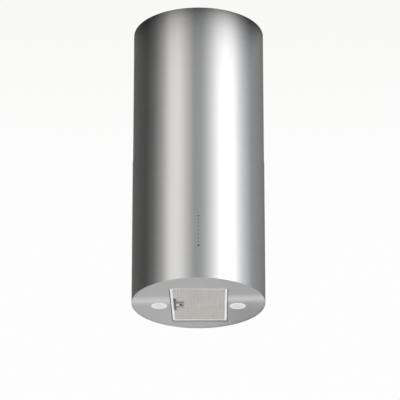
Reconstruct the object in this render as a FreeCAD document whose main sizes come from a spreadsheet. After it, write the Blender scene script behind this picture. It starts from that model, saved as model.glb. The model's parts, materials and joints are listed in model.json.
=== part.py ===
import FreeCAD, Part
import math
import os
import Sketcher
from FreeCAD import Rotation, Vector

# Island range hood: two telescoping steel tubes that hang from a round ceiling bracket.
# Millimetres, +Z up. The origin is the centre of the ceiling bracket's top face, the
# hood hangs down to -Z, and the front, with the touch marks, faces -Y.

doc = FreeCAD.newDocument("island_hood")
sheet = doc.addObject("Spreadsheet::Sheet", "Sizes")

SIZES = {
    # tubes
    "total_height": 845, "cover_diameter": 380, "lower_cover_height": 437,
    "cover_overlap": 50, "cover_sheet": 0.6, "cover_gap": 0.3,
    # clearances
    "slide_gap": 0.5, "near_gap": 0.3, "shaft_gap": 0.05, "hole_gap": 0.1,
    # travel of the hood on its legs
    "hood_up": 90, "hood_down": 30, "slot_slack": 1.0,
    # ceiling bracket
    "bracket_sheet": 2.0, "bracket_rim": 25, "duct_hole_r": 90, "bolt_inset": 38.0,
    "bolt_hole_r": 4.5, "cable_hole_r": 12, "cable_hole_land": 13, "tab_depth": 24,
    "tab_screw_top": 3, "tab_screw_low": 5, "bush_lip": 2.0, "bush_wall": 4.0,
    "hanger_drop": 12, "hanger_screw_r": 2.0, "hanger_head_r": 4.5, "hanger_head": 1.2,
    "hanger_slot_rise": 5,
    # legs and their screws
    "leg_width": 22, "leg_sheet": 2.0, "frame_margin": 13.0, "slot_inset": 12,
    "lower_leg_length": 518, "leg_lift": 14, "clamp_drop": 42, "leg_end_land": 14,
    "clamp_screw_r": 3.0, "clamp_head_r": 5.5, "clamp_head": 4.0, "clamp_nut": 5.0,
    "slot_clearance": 0.3, "clamp_stagger": 14, "leg_screw_inset": 30,
    "brace_height": 20, "brace_sheet": 2.0, "brace_rise": 20,
    "frame_screw_r": 2.5, "frame_head_r": 4.2, "frame_head": 2.4,
    # base plate
    "plate_recess": 2.0, "plate_sheet": 1.0, "plate_gap": 0.4, "plate_rim": 12,
    "opening_flange": 14, "flange_sheet": 1.0, "opening_corner_r": 3.0,
    # filter
    "filter_width": 163, "filter_gap": 1.5, "filter_back_gap": 2.0, "filter_front_land": 46.0,
    "filter_recess": 3.0, "filter_thick": 9.0, "filter_sheet": 1.2, "filter_side": 7.0,
    "filter_end": 8.0, "mesh_sheet": 0.8, "mesh_seat": 4.0, "filter_corner_r": 2.0,
    "hinge_pin_r": 2.0, "hinge_inset": 3.0, "hinge_rise": 2.5, "pin_end_gap": 0.2,
    "core_gap": 0.2,
    # filter latch
    "latch_bar": 6.5, "latch_bar_length": 79, "latch_stem": 32, "latch_stem_width": 35,
    "latch_face": 1.5, "latch_block": 6.0, "latch_block_inset": 1.0, "latch_wall": 1.5,
    "tongue_width": 20, "tongue_thick": 2.0, "tongue_past": 0.5, "tongue_heel": 1.0,
    "latch_travel": 7.0, "button_length": 9, "button_width": 12, "button_inset": 11,
    "button_proud": 0.4, "spring_reach": 7, "spring_sheet": 0.4, "spring_gap": 0.05,
    "spring_side_gap": 0.2,
    # motor box
    "box_sheet": 1.0, "box_height": 302, "box_screw_r": 2.0, "box_head_r": 4.0,
    "box_head": 2.2, "screw_past": 2.0, "rivet_r": 2.0, "rivet_head_r": 3.5, "rivet_head": 1.0,
    "rivet_rise": 9, "rivet_front": 25, "rivet_middle": 46, "rivet_back": 30,
    # fan housing
    "scroll_half_width": 60, "scroll_sheet": 1.0, "outlet_half": 60, "scroll_back_gap": 16.5,
    "scroll_top_land": 34, "inlet_inset": 11.5, "inlet_lip": 6, "inlet_flange": 10,
    "inlet_play": 1.0,
    # impeller and motor
    "wheel_gap": 22, "wheel_shift_y": 10, "wheel_shift_z": 8, "blade_depth": 15,
    "blade_count": 30, "blade_sheet": 1.0, "blade_end": 0.5, "blade_tip": 1.5,
    "wheel_half_width": 54.5, "wheel_ring": 2.0, "shaft_r": 4.0, "shaft_fit": 0.02,
    "shaft_end": 2.0, "hub_r": 12, "hub_length": 16, "motor_gap": 5, "motor_start": 5,
    "bearing_r": 11, "bearing_length": 7, "bearing_front": 1.0, "bearing_back": 4.0,
    "spider_sheet": 2.0, "spider_r": 30, "spider_arm": 14, "spider_end": 1.0,
    "grommet_r": 6, "grommet_length": 3, "grommet_inset": 7,
    # outlet and flaps
    "duct_r": 75, "spigot_wall": 1.5, "spigot_height": 60, "spigot_flange": 6,
    "flap_rise": 18, "flap_gap": 0.8, "flap_sheet": 1.0, "flap_pin_r": 2.0,
    "knuckle_r": 3.5, "knuckle_inset": 11.5, "knuckle_gap": 1.0, "web_start": 2.8,
    # lamps
    "lamp_offset": 26.5, "lamp_y": 23, "lamp_ring_r": 23, "lamp_hole_r": 21.6,
    "lamp_sleeve_r": 21.3, "lamp_sleeve_wall": 0.8, "lamp_sleeve_height": 8,
    "lamp_ring_drop": 1.2, "lamp_ring_edge": 0.7, "lamp_glass_r": 19.4, "glass_drop": 1.8,
    "glass_gap": 0.1, "glass_seat": 1.2, "glass_dome_r": 150, "lamp_can_r": 24,
    "lamp_can_height": 28, "lamp_can_wall": 0.8, "lamp_can_bore": 5, "lamp_module_r": 16,
    "lamp_module_height": 8,
    # touch control
    "touch_low": 98, "touch_pitch": 11.4, "bead_count": 7, "bead_r": 1.6, "bead_first": 11.6,
    "minus_rise": 9.6, "power_r": 3.2, "dash_half": 4.2, "dash_r": 1.2, "mark_proud": 0.3,
    "tray_half": 14, "tray_depth": 12, "tray_wall": 1.5, "tray_margin": 7, "board_sheet": 1.6,
    # electronics
    "case_depth": 40, "case_half": 55, "case_height": 110, "case_rise": 77, "case_wall": 1.5,
    "capacitor_r": 14, "capacitor_height": 65, "capacitor_y": -45, "capacitor_rise": 125,
    "capacitor_stem_r": 4, "capacitor_stem": 6, "clip_sheet": 1.2, "clip_height": 12,
    "clip_foot": 8, "lid_lip": 4, "board_inset": 3, "board_stand": 4, "board_post": 6,
    "terminal_size": 28, "terminal_height": 34, "terminal_inset": 22, "terminal_land": 6,
    "terminal_inlet_r": 5, "gland_r": 7, "gland_length": 12, "gland_hex_r": 8.5,
    "gland_nose_r": 6, "gland_bore_r": 3.8,
    # stays between motor box and lower tube
    "stay_rise": 47, "stay_height": 20, "stay_sheet": 1.5, "stay_tab": 15,
    "stud_across": 8.25, "stud_r": 2.0, "stud_length": 9, "stud_nut": 3.2,
}

for row, (alias, number) in enumerate(SIZES.items(), start=1):
    sheet.set(f"A{row}", alias)
    sheet.set(f"B{row}", str(number))
    sheet.setAlias(f"B{row}", alias)
doc.recompute()


class Dim:
    """A length written as a formula on the named sizes."""

    def __init__(self, text):
        self.text = str(text)

    def __add__(self, other):
        return Dim(f"({self.text} + {formula(other)})")

    def __sub__(self, other):
        return Dim(f"({self.text} - {formula(other)})")

    def __mul__(self, other):
        return Dim(f"({self.text} * {formula(other)})")

    def __truediv__(self, other):
        return Dim(f"({self.text} / {formula(other)})")

    def __radd__(self, other):
        return Dim(f"({formula(other)} + {self.text})")

    def __rsub__(self, other):
        return Dim(f"({formula(other)} - {self.text})")

    def __rmul__(self, other):
        return Dim(f"({formula(other)} * {self.text})")

    def __neg__(self):
        return Dim(f"(0 - {self.text})")


class NamedSizes:
    """The sheet's sizes by name."""

    def __getattr__(self, alias):
        if alias not in SIZES:
            raise AttributeError(alias)
        return Dim(f"Sizes.{alias}")


def formula(length):
    if isinstance(length, Dim):
        return length.text
    return f"({length})" if length < 0 else str(length)


def number(length):
    if isinstance(length, Dim):
        return float(sheet.evalExpression(length.text))
    return float(length)


def root(length):
    return Dim(f"sqrt({formula(length)})")


size = NamedSizes()
PLANES = {"X": "YZ_Plane", "Y": "XZ_Plane", "Z": "XY_Plane"}
SIDES = (-1, 1)
OVERCUT = 0.4               # how far a cut starts and ends outside the wall that it opens
BOLT_X, BOLT_Y = 0.8, 0.6   # the bolts lie on the corners of a 4 to 3 rectangle


# ---------------------------------------------------------------- sketched solids

class Solid:
    """A PartDesign body. Profiles lie across an axis: (y, z) for X, (x, z) for Y, (x, y) for Z."""

    def __init__(self, label):
        self.body = doc.addObject("PartDesign::Body", label)
        self.label = label
        self.features = 0

    def _sketch(self, axis, position):
        self.features += 1
        sketch = self.body.newObject("Sketcher::SketchObject", f"{self.label}_sketch_{self.features}")
        role = PLANES[axis]
        plane = [f for f in self.body.Origin.OriginFeatures if f.Role == role][0]
        sketch.AttachmentSupport = (plane, [""])
        sketch.MapMode = "FlatFace"
        offset = -position if axis == "Y" else position
        if isinstance(offset, Dim):
            sketch.setExpression("AttachmentOffset.Base.z", offset.text)
        else:
            sketch.AttachmentOffset.Base.z = offset
        return sketch

    def pad(self, axis, low, high, *loops):
        sketch = self._sketch(axis, high if axis == "Y" else low)
        for loop in loops:
            loop(sketch)
        pad = self.body.newObject("PartDesign::Pad", f"{self.label}_pad_{self.features}")
        pad.Profile = sketch
        pad.setExpression("Length", (high - low).text)
        sketch.Visibility = False
        return pad

    def pocket(self, axis, low, high, *loops):
        sketch = self._sketch(axis, low if axis == "Y" else high)
        for loop in loops:
            loop(sketch)
        pocket = self.body.newObject("PartDesign::Pocket", f"{self.label}_cut_{self.features}")
        pocket.Profile = sketch
        pocket.setExpression("Length", (high - low).text)
        return pocket

    def revolve(self, about, *loops):
        """Turn an (x, z) profile about the body's own Z or X axis."""
        sketch = self._sketch("Y", Dim(0))
        for loop in loops:
            loop(sketch)
        turn = self.body.newObject("PartDesign::Revolution", f"{self.label}_turn_{self.features}")
        turn.Profile = sketch
        turn.ReferenceAxis = (sketch, ["V_Axis" if about == "Z" else "H_Axis"])
        turn.Angle = 360
        return turn

    def repeat(self, about, count, *features):
        """Repeat features round the body's own axis."""
        doc.recompute()
        pattern = self.body.newObject("PartDesign::PolarPattern", f"{self.label}_round")
        pattern.Originals = list(features)
        role = f"{about}_Axis"
        line = [f for f in self.body.Origin.OriginFeatures if f.Role == role][0]
        pattern.Axis = (line, [""])
        pattern.Angle = 360
        pattern.setExpression("Occurrences", formula(count))
        self.body.Tip = pattern
        return pattern

    def place(self, x=0, y=0, z=0):
        move(self.body, x, y, z)
        return self


def fix(sketch, kind, *elements, length):
    """Add one dimension to a sketch and bind it to its formula."""
    index = sketch.addConstraint(Sketcher.Constraint(kind, *elements, number(length)))
    if isinstance(length, Dim):
        sketch.setExpression(f"Constraints[{index}]", length.text)


def circle(across, up, radius):
    def draw(sketch):
        centre = Vector(number(across), number(up), 0)
        ring = sketch.addGeometry(Part.Circle(centre, Vector(0, 0, 1), number(radius)))
        fix(sketch, "DistanceX", -1, 1, ring, 3, length=across)
        fix(sketch, "DistanceY", -1, 1, ring, 3, length=up)
        fix(sketch, "Radius", ring, length=radius)
    return draw


def outline(*points):
    """A closed loop of straight lines."""
    def draw(sketch):
        spots = [Vector(number(a), number(b), 0) for a, b in points]
        ends = spots[1:] + spots[:1]
        lines = [sketch.addGeometry(Part.LineSegment(a, b)) for a, b in zip(spots, ends)]
        for line, following in zip(lines, lines[1:] + lines[:1]):
            sketch.addConstraint(Sketcher.Constraint("Coincident", line, 2, following, 1))
        for line, (across, up) in zip(lines, points):
            fix(sketch, "DistanceX", -1, 1, line, 1, length=across)
            fix(sketch, "DistanceY", -1, 1, line, 1, length=up)
    return draw


def rectangle(left, low, right, high):
    return outline((left, low), (right, low), (right, high), (left, high))


def rounded(left, low, right, high, radius):
    """A rectangle with four equal round corners."""
    def draw(sketch):
        a, b, c, d, r = (number(v) for v in (left, low, right, high, radius))
        runs = [((a + r, b), (c - r, b)), ((c, b + r), (c, d - r)),
                ((c - r, d), (a + r, d)), ((a, d - r), (a, b + r))]
        centres = [(c - r, b + r), (c - r, d - r), (a + r, d - r), (a + r, b + r)]
        lines = [sketch.addGeometry(Part.LineSegment(Vector(*p, 0), Vector(*q, 0)))
                 for p, q in runs]
        arcs = []
        for turn, spot in enumerate(centres):
            ring = Part.Circle(Vector(*spot, 0), Vector(0, 0, 1), r)
            start = math.radians(-90 + 90 * turn)
            arcs.append(sketch.addGeometry(Part.ArcOfCircle(ring, start, start + math.pi / 2)))
        for turn in range(4):
            following = lines[(turn + 1) % 4]
            sketch.addConstraint(Sketcher.Constraint("Tangent", lines[turn], 2, arcs[turn], 1))
            sketch.addConstraint(Sketcher.Constraint("Tangent", arcs[turn], 2, following, 1))
        for arc in arcs[1:]:
            sketch.addConstraint(Sketcher.Constraint("Equal", arcs[0], arc))
        for turn, line in enumerate(lines):
            direction = "Vertical" if turn % 2 else "Horizontal"
            sketch.addConstraint(Sketcher.Constraint(direction, line))
        fix(sketch, "Radius", arcs[0], length=radius)
        fix(sketch, "DistanceY", -1, 1, lines[0], 1, length=low)
        fix(sketch, "DistanceX", -1, 1, lines[1], 1, length=right)
        fix(sketch, "DistanceY", -1, 1, lines[2], 1, length=high)
        fix(sketch, "DistanceX", -1, 1, lines[3], 1, length=left)
    return draw


def slot(across, up, across_end, up_end, radius):
    """A slot between two end centres that lie on one upright or one level line."""
    def draw(sketch):
        a, b = Vector(number(across), number(up), 0), Vector(number(across_end), number(up_end), 0)
        r = number(radius)
        along = (b - a).normalize()
        side = Vector(-along.y, along.x, 0) * r
        heading = math.atan2(along.y, along.x)
        first = Part.ArcOfCircle(Part.Circle(a, Vector(0, 0, 1), r),
                                 heading + math.pi / 2, heading + 3 * math.pi / 2)
        last = Part.ArcOfCircle(Part.Circle(b, Vector(0, 0, 1), r),
                                heading - math.pi / 2, heading + math.pi / 2)
        pieces = [sketch.addGeometry(piece) for piece in (
            first, Part.LineSegment(a - side, b - side), last, Part.LineSegment(b + side, a + side))]
        for piece, following in zip(pieces, pieces[1:] + pieces[:1]):
            sketch.addConstraint(Sketcher.Constraint("Tangent", piece, 2, following, 1))
        sketch.addConstraint(Sketcher.Constraint("Equal", pieces[0], pieces[2]))
        fix(sketch, "Radius", pieces[0], length=radius)
        for piece, x, y in ((pieces[0], across, up), (pieces[2], across_end, up_end)):
            fix(sketch, "DistanceX", -1, 1, piece, 3, length=x)
            fix(sketch, "DistanceY", -1, 1, piece, 3, length=y)
    return draw


# ---------------------------------------------------------------- plain solids

def move(thing, x, y, z):
    for letter, length in zip("xyz", (x, y, z)):
        thing.setExpression(f"Placement.Base.{letter}", formula(length))


def box(label, low, high):
    """A box between its low and high corners."""
    solid = doc.addObject("Part::Box", label)
    for side, start, end in zip(("Length", "Width", "Height"), low, high):
        solid.setExpression(side, formula(end - start))
    move(solid, *low)
    return solid


def turned(solid, axis, start, across, up):
    """Stand a solid made along Z on an axis, at its start and its two other coordinates."""
    if axis == "X":
        solid.Placement.Rotation = Rotation(Vector(0, 1, 0), 90)
        move(solid, start, across, up)
    elif axis == "Y":
        solid.Placement.Rotation = Rotation(Vector(1, 0, 0), -90)
        move(solid, across, start, up)
    else:
        move(solid, across, up, start)
    return solid


def rod(label, axis, low, high, across, up, radius):
    """A cylinder along an axis from low to high."""
    solid = doc.addObject("Part::Cylinder", label)
    solid.setExpression("Radius", formula(radius))
    solid.setExpression("Height", formula(high - low))
    return turned(solid, axis, low, across, up)


def hexagon(label, axis, low, high, across, up, corner_r):
    solid = doc.addObject("Part::Prism", label)
    solid.Polygon = 6
    solid.setExpression("Circumradius", formula(corner_r))
    solid.setExpression("Height", formula(high - low))
    return turned(solid, axis, low, across, up)


def whole(thing):
    return thing.body if isinstance(thing, Solid) else thing


def join(label, *things):
    joined = doc.addObject("Part::MultiFuse", label)
    joined.Shapes = [whole(t) for t in things]
    return joined


def cut(label, base, *tools):
    tool = whole(tools[0]) if len(tools) == 1 else join(f"{label}_tools", *tools)
    result = doc.addObject("Part::Cut", label)
    result.Base = whole(base)
    result.Tool = tool
    return result


def common(label, first, second):
    result = doc.addObject("Part::Common", label)
    result.Base = whole(first)
    result.Tool = whole(second)
    return result


def group(label, *things):
    """Several separate solids that share one node."""
    gathered = doc.addObject("Part::Compound", label)
    gathered.Links = [whole(t) for t in things]
    return gathered


def ring(label, axis, low, high, across, up, outer_r, inner_r):
    outside = rod(f"{label}_outside", axis, low, high, across, up, outer_r)
    inside = rod(f"{label}_bore", axis, low, high, across, up, inner_r)
    return cut(label, outside, inside)


def span(side, near, far):
    """The low and high ends of a stretch from near to far on one side of the middle."""
    return (near, far) if side > 0 else (-far, -near)


def screw(label, axis, side, seat, depth, head, across, up, shank_r, head_r):
    """A screw whose head seats at a distance from the middle and whose shank points inward."""
    shank = rod(f"{label}_shank", axis, *span(side, seat - depth, seat), across, up, shank_r)
    cap = rod(f"{label}_head", axis, *span(side, seat, seat + head), across, up, head_r)
    return join(label, shank, cap)


def nut(label, axis, low, high, across, up, corner_r, bore_r):
    blank = hexagon(f"{label}_blank", axis, low, high, across, up, corner_r)
    return cut(label, blank, rod(f"{label}_bore", axis, low, high, across, up, bore_r))


# ---------------------------------------------------------------- shared places

bottom = -size.total_height
cover_r = size.cover_diameter / 2
lower_inner = cover_r - size.cover_sheet
upper_r = lower_inner - size.cover_gap
upper_inner = upper_r - size.cover_sheet
lower_top = bottom + size.lower_cover_height
upper_end = lower_top - size.cover_overlap

plate_low = bottom + size.plate_recess
plate_top = plate_low + size.plate_sheet
plate_r = lower_inner - size.plate_gap

filter_x = size.filter_width / 2
open_x = filter_x + size.filter_gap
box_x = open_x + size.flange_sheet + size.box_sheet

leg_out_x = box_x + size.leg_sheet
rail_in_x = leg_out_x + size.slide_gap
rail_out_x = rail_in_x + size.leg_sheet
corner_r = upper_inner - size.frame_margin
rail_out_y = root(corner_r * corner_r - rail_out_x * rail_out_x)
rail_in_y = rail_out_y - size.leg_sheet
leg_out_y = rail_in_y - size.slide_gap
box_y = leg_out_y - size.leg_sheet

open_back = box_y - size.box_sheet - size.flange_sheet
filter_back = open_back - size.filter_back_gap
filter_front = -(box_y - size.filter_front_land)
open_front = filter_front - size.filter_gap
filter_middle = (filter_back + filter_front) / 2
filter_low = plate_low + size.filter_recess
filter_top = filter_low + size.filter_thick
hinge_x = filter_x - size.hinge_inset
hinge_z = filter_low + size.hinge_rise
tongue_low = filter_low + size.filter_sheet + size.slide_gap
tongue_top = tongue_low + size.tongue_thick

box_top = plate_top + size.box_height
rivet_z = plate_top + size.rivet_rise
rivet_rows = (filter_front + size.rivet_front, filter_middle - size.rivet_middle,
              filter_back - size.rivet_back)
spigot_top = box_top + size.spigot_height
flap_z = box_top + size.flap_rise
knuckle_pitch = (size.duct_r - size.spigot_wall - size.knuckle_inset) / 2

lower_leg_low = plate_top + size.leg_lift
lower_leg_top = lower_leg_low + size.lower_leg_length
clamp_z = lower_leg_top - size.clamp_drop
slot_r = size.clamp_screw_r + size.slot_clearance
slot_low = clamp_z - size.hood_down - size.slot_slack
slot_high = clamp_z + size.hood_up + size.slot_slack
clamp_levels = {"X": clamp_z, "Y": clamp_z - size.clamp_stagger}
rail_end = slot_low - size.clamp_stagger - slot_r - size.leg_end_land
slot_x = rail_out_x - size.slot_inset
slot_y = rail_out_y - size.slot_inset
brace_low = slot_high + slot_r + size.brace_rise
brace_middle = brace_low + size.brace_height / 2

bracket_r = upper_inner - size.slide_gap
cable_hole_y = size.duct_hole_r + size.cable_hole_land + size.cable_hole_r
frame_screw_z = (-size.bracket_sheet - size.frame_head_r - size.tab_screw_top,
                 -size.tab_depth + size.tab_screw_low)
leg_screw_z = (lower_leg_low + size.leg_screw_inset, box_top - size.leg_screw_inset)
hanger_z = -size.hanger_drop

side_out = size.scroll_half_width + size.scroll_sheet
scroll_end = box_top - size.box_sheet
drum_r = (box_y - size.box_sheet - size.scroll_back_gap + size.outlet_half) / 2
drum_y = size.outlet_half - drum_r
drum_z = scroll_end - size.scroll_top_land - drum_r
wheel_r = drum_r - size.wheel_gap
wheel_y = drum_y - size.wheel_shift_y
wheel_z = drum_z + size.wheel_shift_z
inlet_r = wheel_r - size.inlet_inset
motor_r = wheel_r - size.blade_depth - size.motor_gap
grommet_end = side_out + size.grommet_length
grommet_circle = inlet_r + size.inlet_flange + size.grommet_inset

lamp_x = box_x + size.lamp_offset
lamp_can_top = plate_top + size.lamp_can_height
case_low = plate_top + size.case_rise
case_top = case_low + size.case_height
case_out = box_x + size.case_depth
capacitor_x = -(box_x + size.clip_sheet + size.capacitor_r)
capacitor_low = plate_top + size.capacitor_rise
capacitor_top = capacitor_low + size.capacitor_height
terminal_x = box_x - size.terminal_inset
terminal_y = box_y - size.terminal_size / 2 - size.terminal_land
terminal_top = box_top + size.terminal_height
stud_z = plate_top + size.stay_rise + size.stay_height / 2
tray_back = -lower_inner + size.tray_depth
board_front = tray_back - size.tray_wall - size.board_sheet
mark_front = -cover_r - size.mark_proud

mesh_x = filter_x - size.filter_side + size.mesh_seat
mesh_front = filter_front + size.filter_end - size.mesh_seat
mesh_back = filter_back - size.filter_end + size.mesh_seat
latch_left = -filter_x + size.filter_side
latch_half = size.latch_stem_width / 2
latch_low = filter_low - size.latch_face
stem_right = latch_left + size.latch_stem
block_half = latch_half - size.latch_block_inset
tongue_half = size.tongue_width / 2
tongue_left = -box_x - size.tongue_past
button_left = latch_left + size.button_inset
tongue_right = button_left + size.button_length + size.tongue_heel


def corners():
    """Name and signs of the four legs."""
    for y_name, y_side in (("front", -1), ("rear", 1)):
        for x_name, x_side in (("left", -1), ("right", 1)):
            yield f"{y_name}_{x_name}", x_side, y_side


def angle_section(x_side, y_side, out_x, out_y, sheet_size, width):
    """An L section whose corner points outward."""
    return outline(
        (x_side * out_x, y_side * out_y),
        (x_side * (out_x - width), y_side * out_y),
        (x_side * (out_x - width), y_side * (out_y - sheet_size)),
        (x_side * (out_x - sheet_size), y_side * (out_y - sheet_size)),
        (x_side * (out_x - sheet_size), y_side * (out_y - width)),
        (x_side * out_x, y_side * (out_y - width)))


# ---------------------------------------------------------------- ceiling frame

def ceiling_bracket():
    """Pressed plate with the duct hole, bolt holes, a turned-down rim and four leg tabs."""
    plate = Solid("ceiling_bracket")
    bolt_circle = bracket_r - size.bolt_inset
    bolts = [circle(x_side * BOLT_X * bolt_circle, y_side * BOLT_Y * bolt_circle, size.bolt_hole_r)
             for x_side in SIDES for y_side in SIDES]
    plate.pad("Z", -size.bracket_sheet, Dim(0), circle(0, 0, bracket_r),
              circle(0, 0, size.duct_hole_r), circle(0, cable_hole_y, size.cable_hole_r), *bolts)
    plate.pad("Z", -size.bracket_rim, -size.bracket_sheet, circle(0, 0, bracket_r),
              circle(0, 0, bracket_r - size.bracket_sheet))
    plate.pad("Z", -size.tab_depth, -size.bracket_sheet, *[
        angle_section(x_side, y_side, rail_in_x, rail_in_y, size.leg_sheet,
                      size.leg_width - 2 * size.leg_sheet)
        for _, x_side, y_side in corners()])
    plate.pocket("X", -bracket_r - OVERCUT, bracket_r + OVERCUT,
                 circle(0, hanger_z, size.hanger_screw_r))
    holes = [circle(y_side * slot_y, z, size.frame_screw_r)
             for y_side in SIDES for z in frame_screw_z]
    plate.pocket("X", -rail_in_x - OVERCUT, rail_in_x + OVERCUT, *holes)
    return plate


def cable_grommet():
    """Rubber ring that lines the cable hole."""
    bush = Solid("cable_grommet")
    hole_r, under = size.cable_hole_r, -size.bracket_sheet
    bore, low = hole_r - size.bush_wall, under - size.bush_lip
    bush.revolve("Z", outline(
        (bore, low), (hole_r + size.bush_lip, low), (hole_r + size.bush_lip, under),
        (hole_r, under), (hole_r, Dim(0)), (bore, Dim(0))))
    return bush.place(0, cable_hole_y, 0)


def upper_leg(name, x_side, y_side):
    """Angle rail hung from the bracket, with a long clamp slot in each flange."""
    rail = Solid(f"upper_leg_{name}")
    rail.pad("Z", rail_end, -size.bracket_sheet,
             angle_section(x_side, y_side, rail_out_x, rail_out_y, size.leg_sheet, size.leg_width))
    x_span = span(x_side, rail_in_x - OVERCUT, rail_out_x + OVERCUT)
    y_span = span(y_side, rail_in_y - OVERCUT, rail_out_y + OVERCUT)
    rail.pocket("X", *x_span, slot(y_side * slot_y, slot_low, y_side * slot_y, slot_high, slot_r),
                circle(y_side * slot_y, brace_middle, size.frame_screw_r),
                *[circle(y_side * slot_y, z, size.frame_screw_r) for z in frame_screw_z])
    lowered = size.clamp_stagger
    rail.pocket("Y", *y_span, slot(x_side * slot_x, slot_low - lowered,
                                   x_side * slot_x, slot_high - lowered, slot_r),
                circle(x_side * slot_x, brace_middle, size.frame_screw_r))
    return rail


def upper_brace():
    """Rectangular band that ties the four upper legs together."""
    band = Solid("upper_brace")
    far_x, far_y = rail_out_x + size.brace_sheet, rail_out_y + size.brace_sheet
    band.pad("Z", brace_low, brace_low + size.brace_height,
             rectangle(-far_x, -far_y, far_x, far_y),
             rectangle(-rail_out_x, -rail_out_y, rail_out_x, rail_out_y))
    band.pocket("X", -far_x - OVERCUT, far_x + OVERCUT,
                *[circle(side * slot_y, brace_middle, size.frame_screw_r) for side in SIDES])
    band.pocket("Y", -far_y - OVERCUT, far_y + OVERCUT,
                *[circle(side * slot_x, brace_middle, size.frame_screw_r) for side in SIDES])
    return band


def upper_frame_screws():
    """Screws of the legs in the bracket's tabs and of the brace on the legs."""
    made = []
    shank_r = size.frame_screw_r - size.hole_gap
    head = (size.frame_head, size.frame_head_r)
    for name, x_side, y_side in corners():
        for place, z in enumerate(frame_screw_z):
            made.append(screw(f"tab_screw_{name}_{place}", "X", x_side, rail_out_x,
                              2 * size.leg_sheet, head[0], y_side * slot_y, z, shank_r, head[1]))
        depth = size.leg_sheet + size.brace_sheet
        made.append(screw(f"brace_screw_x_{name}", "X", x_side, rail_out_x + size.brace_sheet,
                          depth, head[0], y_side * slot_y, brace_middle, shank_r, head[1]))
        made.append(screw(f"brace_screw_y_{name}", "Y", y_side, rail_out_y + size.brace_sheet,
                          depth, head[0], x_side * slot_x, brace_middle, shank_r, head[1]))
    return group("upper_frame_screws", *made)


def cover_hanger_screws():
    """Two low-head screws that clamp the upper tube to the bracket's rim."""
    seat = upper_r + size.near_gap
    depth = seat - bracket_r + size.bracket_sheet
    return group("cover_hanger_screws", *[
        screw(f"hanger_screw_{name}", "X", side, seat, depth, size.hanger_head, 0, hanger_z,
              size.hanger_screw_r - size.shaft_gap, size.hanger_head_r)
        for name, side in (("left", -1), ("right", 1))])


# ---------------------------------------------------------------- covers

def upper_cover():
    """Upper tube, open at both ends, with a slot at each side for the hanger screws."""
    tube = Solid("upper_cover")
    tube.pad("Z", upper_end, Dim(0), circle(0, 0, upper_r), circle(0, 0, upper_inner))
    slot_half = size.hanger_screw_r + size.slot_clearance
    tube.pocket("X", -upper_r - OVERCUT, upper_r + OVERCUT,
                slot(0, hanger_z, 0, size.hanger_slot_rise, slot_half))
    return tube


def touch_marks():
    """Heights of the power mark, of each bead and of the minus mark."""
    power = bottom + size.touch_low
    beads = [power + size.bead_first + size.touch_pitch * n for n in range(SIZES["bead_count"])]
    minus = beads[-1] + size.minus_rise
    return power, beads, minus


def lower_cover():
    """Lower tube with the holes of the touch control in front."""
    power, beads, minus = touch_marks()
    tube = Solid("lower_cover")
    tube.pad("Z", bottom, lower_top, circle(0, 0, cover_r), circle(0, 0, lower_inner))
    half = size.dash_half - size.dash_r
    dash = slot(-half, minus, half, minus, size.dash_r + size.hole_gap)
    curve_depth = 2 * size.cover_sheet
    tube.pocket("Y", -cover_r - OVERCUT, -lower_inner + curve_depth, dash,
                circle(0, power, size.power_r + size.hole_gap),
                *[circle(0, z, size.bead_r + size.hole_gap) for z in beads])
    return tube


def base_plate():
    """Underside plate: rim, filter opening with an upturned flange, two lamp holes."""
    plate = Solid("base_plate")
    flange = size.flange_sheet
    inner = rounded(-open_x, open_front, open_x, open_back, size.opening_corner_r)
    outer = rounded(-open_x - flange, open_front - flange, open_x + flange, open_back + flange,
                    size.opening_corner_r + flange)
    lamps = [circle(side * lamp_x, size.lamp_y, size.lamp_hole_r) for side in SIDES]
    plate.pad("Z", plate_low, plate_top, circle(0, 0, plate_r), inner, *lamps)
    plate.pad("Z", plate_top, plate_top + size.plate_rim, circle(0, 0, plate_r),
              circle(0, 0, plate_r - size.plate_sheet))
    plate.pad("Z", plate_top, plate_top + size.opening_flange, outer, inner)
    plate.pocket("X", -open_x - flange - OVERCUT, -open_x + OVERCUT, keeper_hole())
    rivets = [circle(y, rivet_z, size.rivet_r) for y in rivet_rows]
    plate.pocket("X", -open_x - flange - OVERCUT, open_x + flange + OVERCUT, *rivets)
    plate.pocket("Y", open_front - flange - OVERCUT, open_back + flange + OVERCUT,
                 circle(hinge_x, hinge_z, size.hinge_pin_r + size.shaft_gap))
    return plate


def keeper_hole():
    """The hole that the latch's tongue catches in."""
    half = tongue_half + size.slide_gap
    return rectangle(filter_middle - half, tongue_low - size.slide_gap,
                     filter_middle + half, tongue_top + size.slide_gap)


def motor_box():
    """Galvanised box that stands on the plate, open below, with the outlet hole in its top."""
    case = Solid("motor_box")
    inner_x, inner_y = box_x - size.box_sheet, box_y - size.box_sheet
    case.pad("Z", plate_top, box_top, rectangle(-box_x, -box_y, box_x, box_y))
    case.pocket("Z", plate_top, box_top - size.box_sheet,
                rectangle(-inner_x, -inner_y, inner_x, inner_y))
    case.pocket("Z", box_top - size.box_sheet - OVERCUT, box_top + OVERCUT,
                circle(0, 0, size.duct_r - size.spigot_wall),
                circle(terminal_x, terminal_y, size.gland_r))
    case.pocket("X", -box_x - OVERCUT, -inner_x + OVERCUT, keeper_hole())
    rows = [circle(y, rivet_z, size.rivet_r) for y in rivet_rows]
    rows += [circle(side * slot_y, z, size.box_screw_r + size.hole_gap)
             for side in SIDES for z in leg_screw_z]
    case.pocket("X", -box_x - OVERCUT, box_x + OVERCUT, *rows)
    return case


def base_rivets():
    """Rivets through the motor box and the plate's flange, flush inside."""
    made = []
    for side_name, side in (("left", -1), ("right", 1)):
        for place, y in enumerate(rivet_rows):
            made.append(screw(f"rivet_{side_name}_{place}", "X", side, box_x,
                              size.box_sheet + size.flange_sheet, size.rivet_head, y, rivet_z,
                              size.rivet_r - size.shaft_gap, size.rivet_head_r))
    return group("base_rivets", *made)


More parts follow.
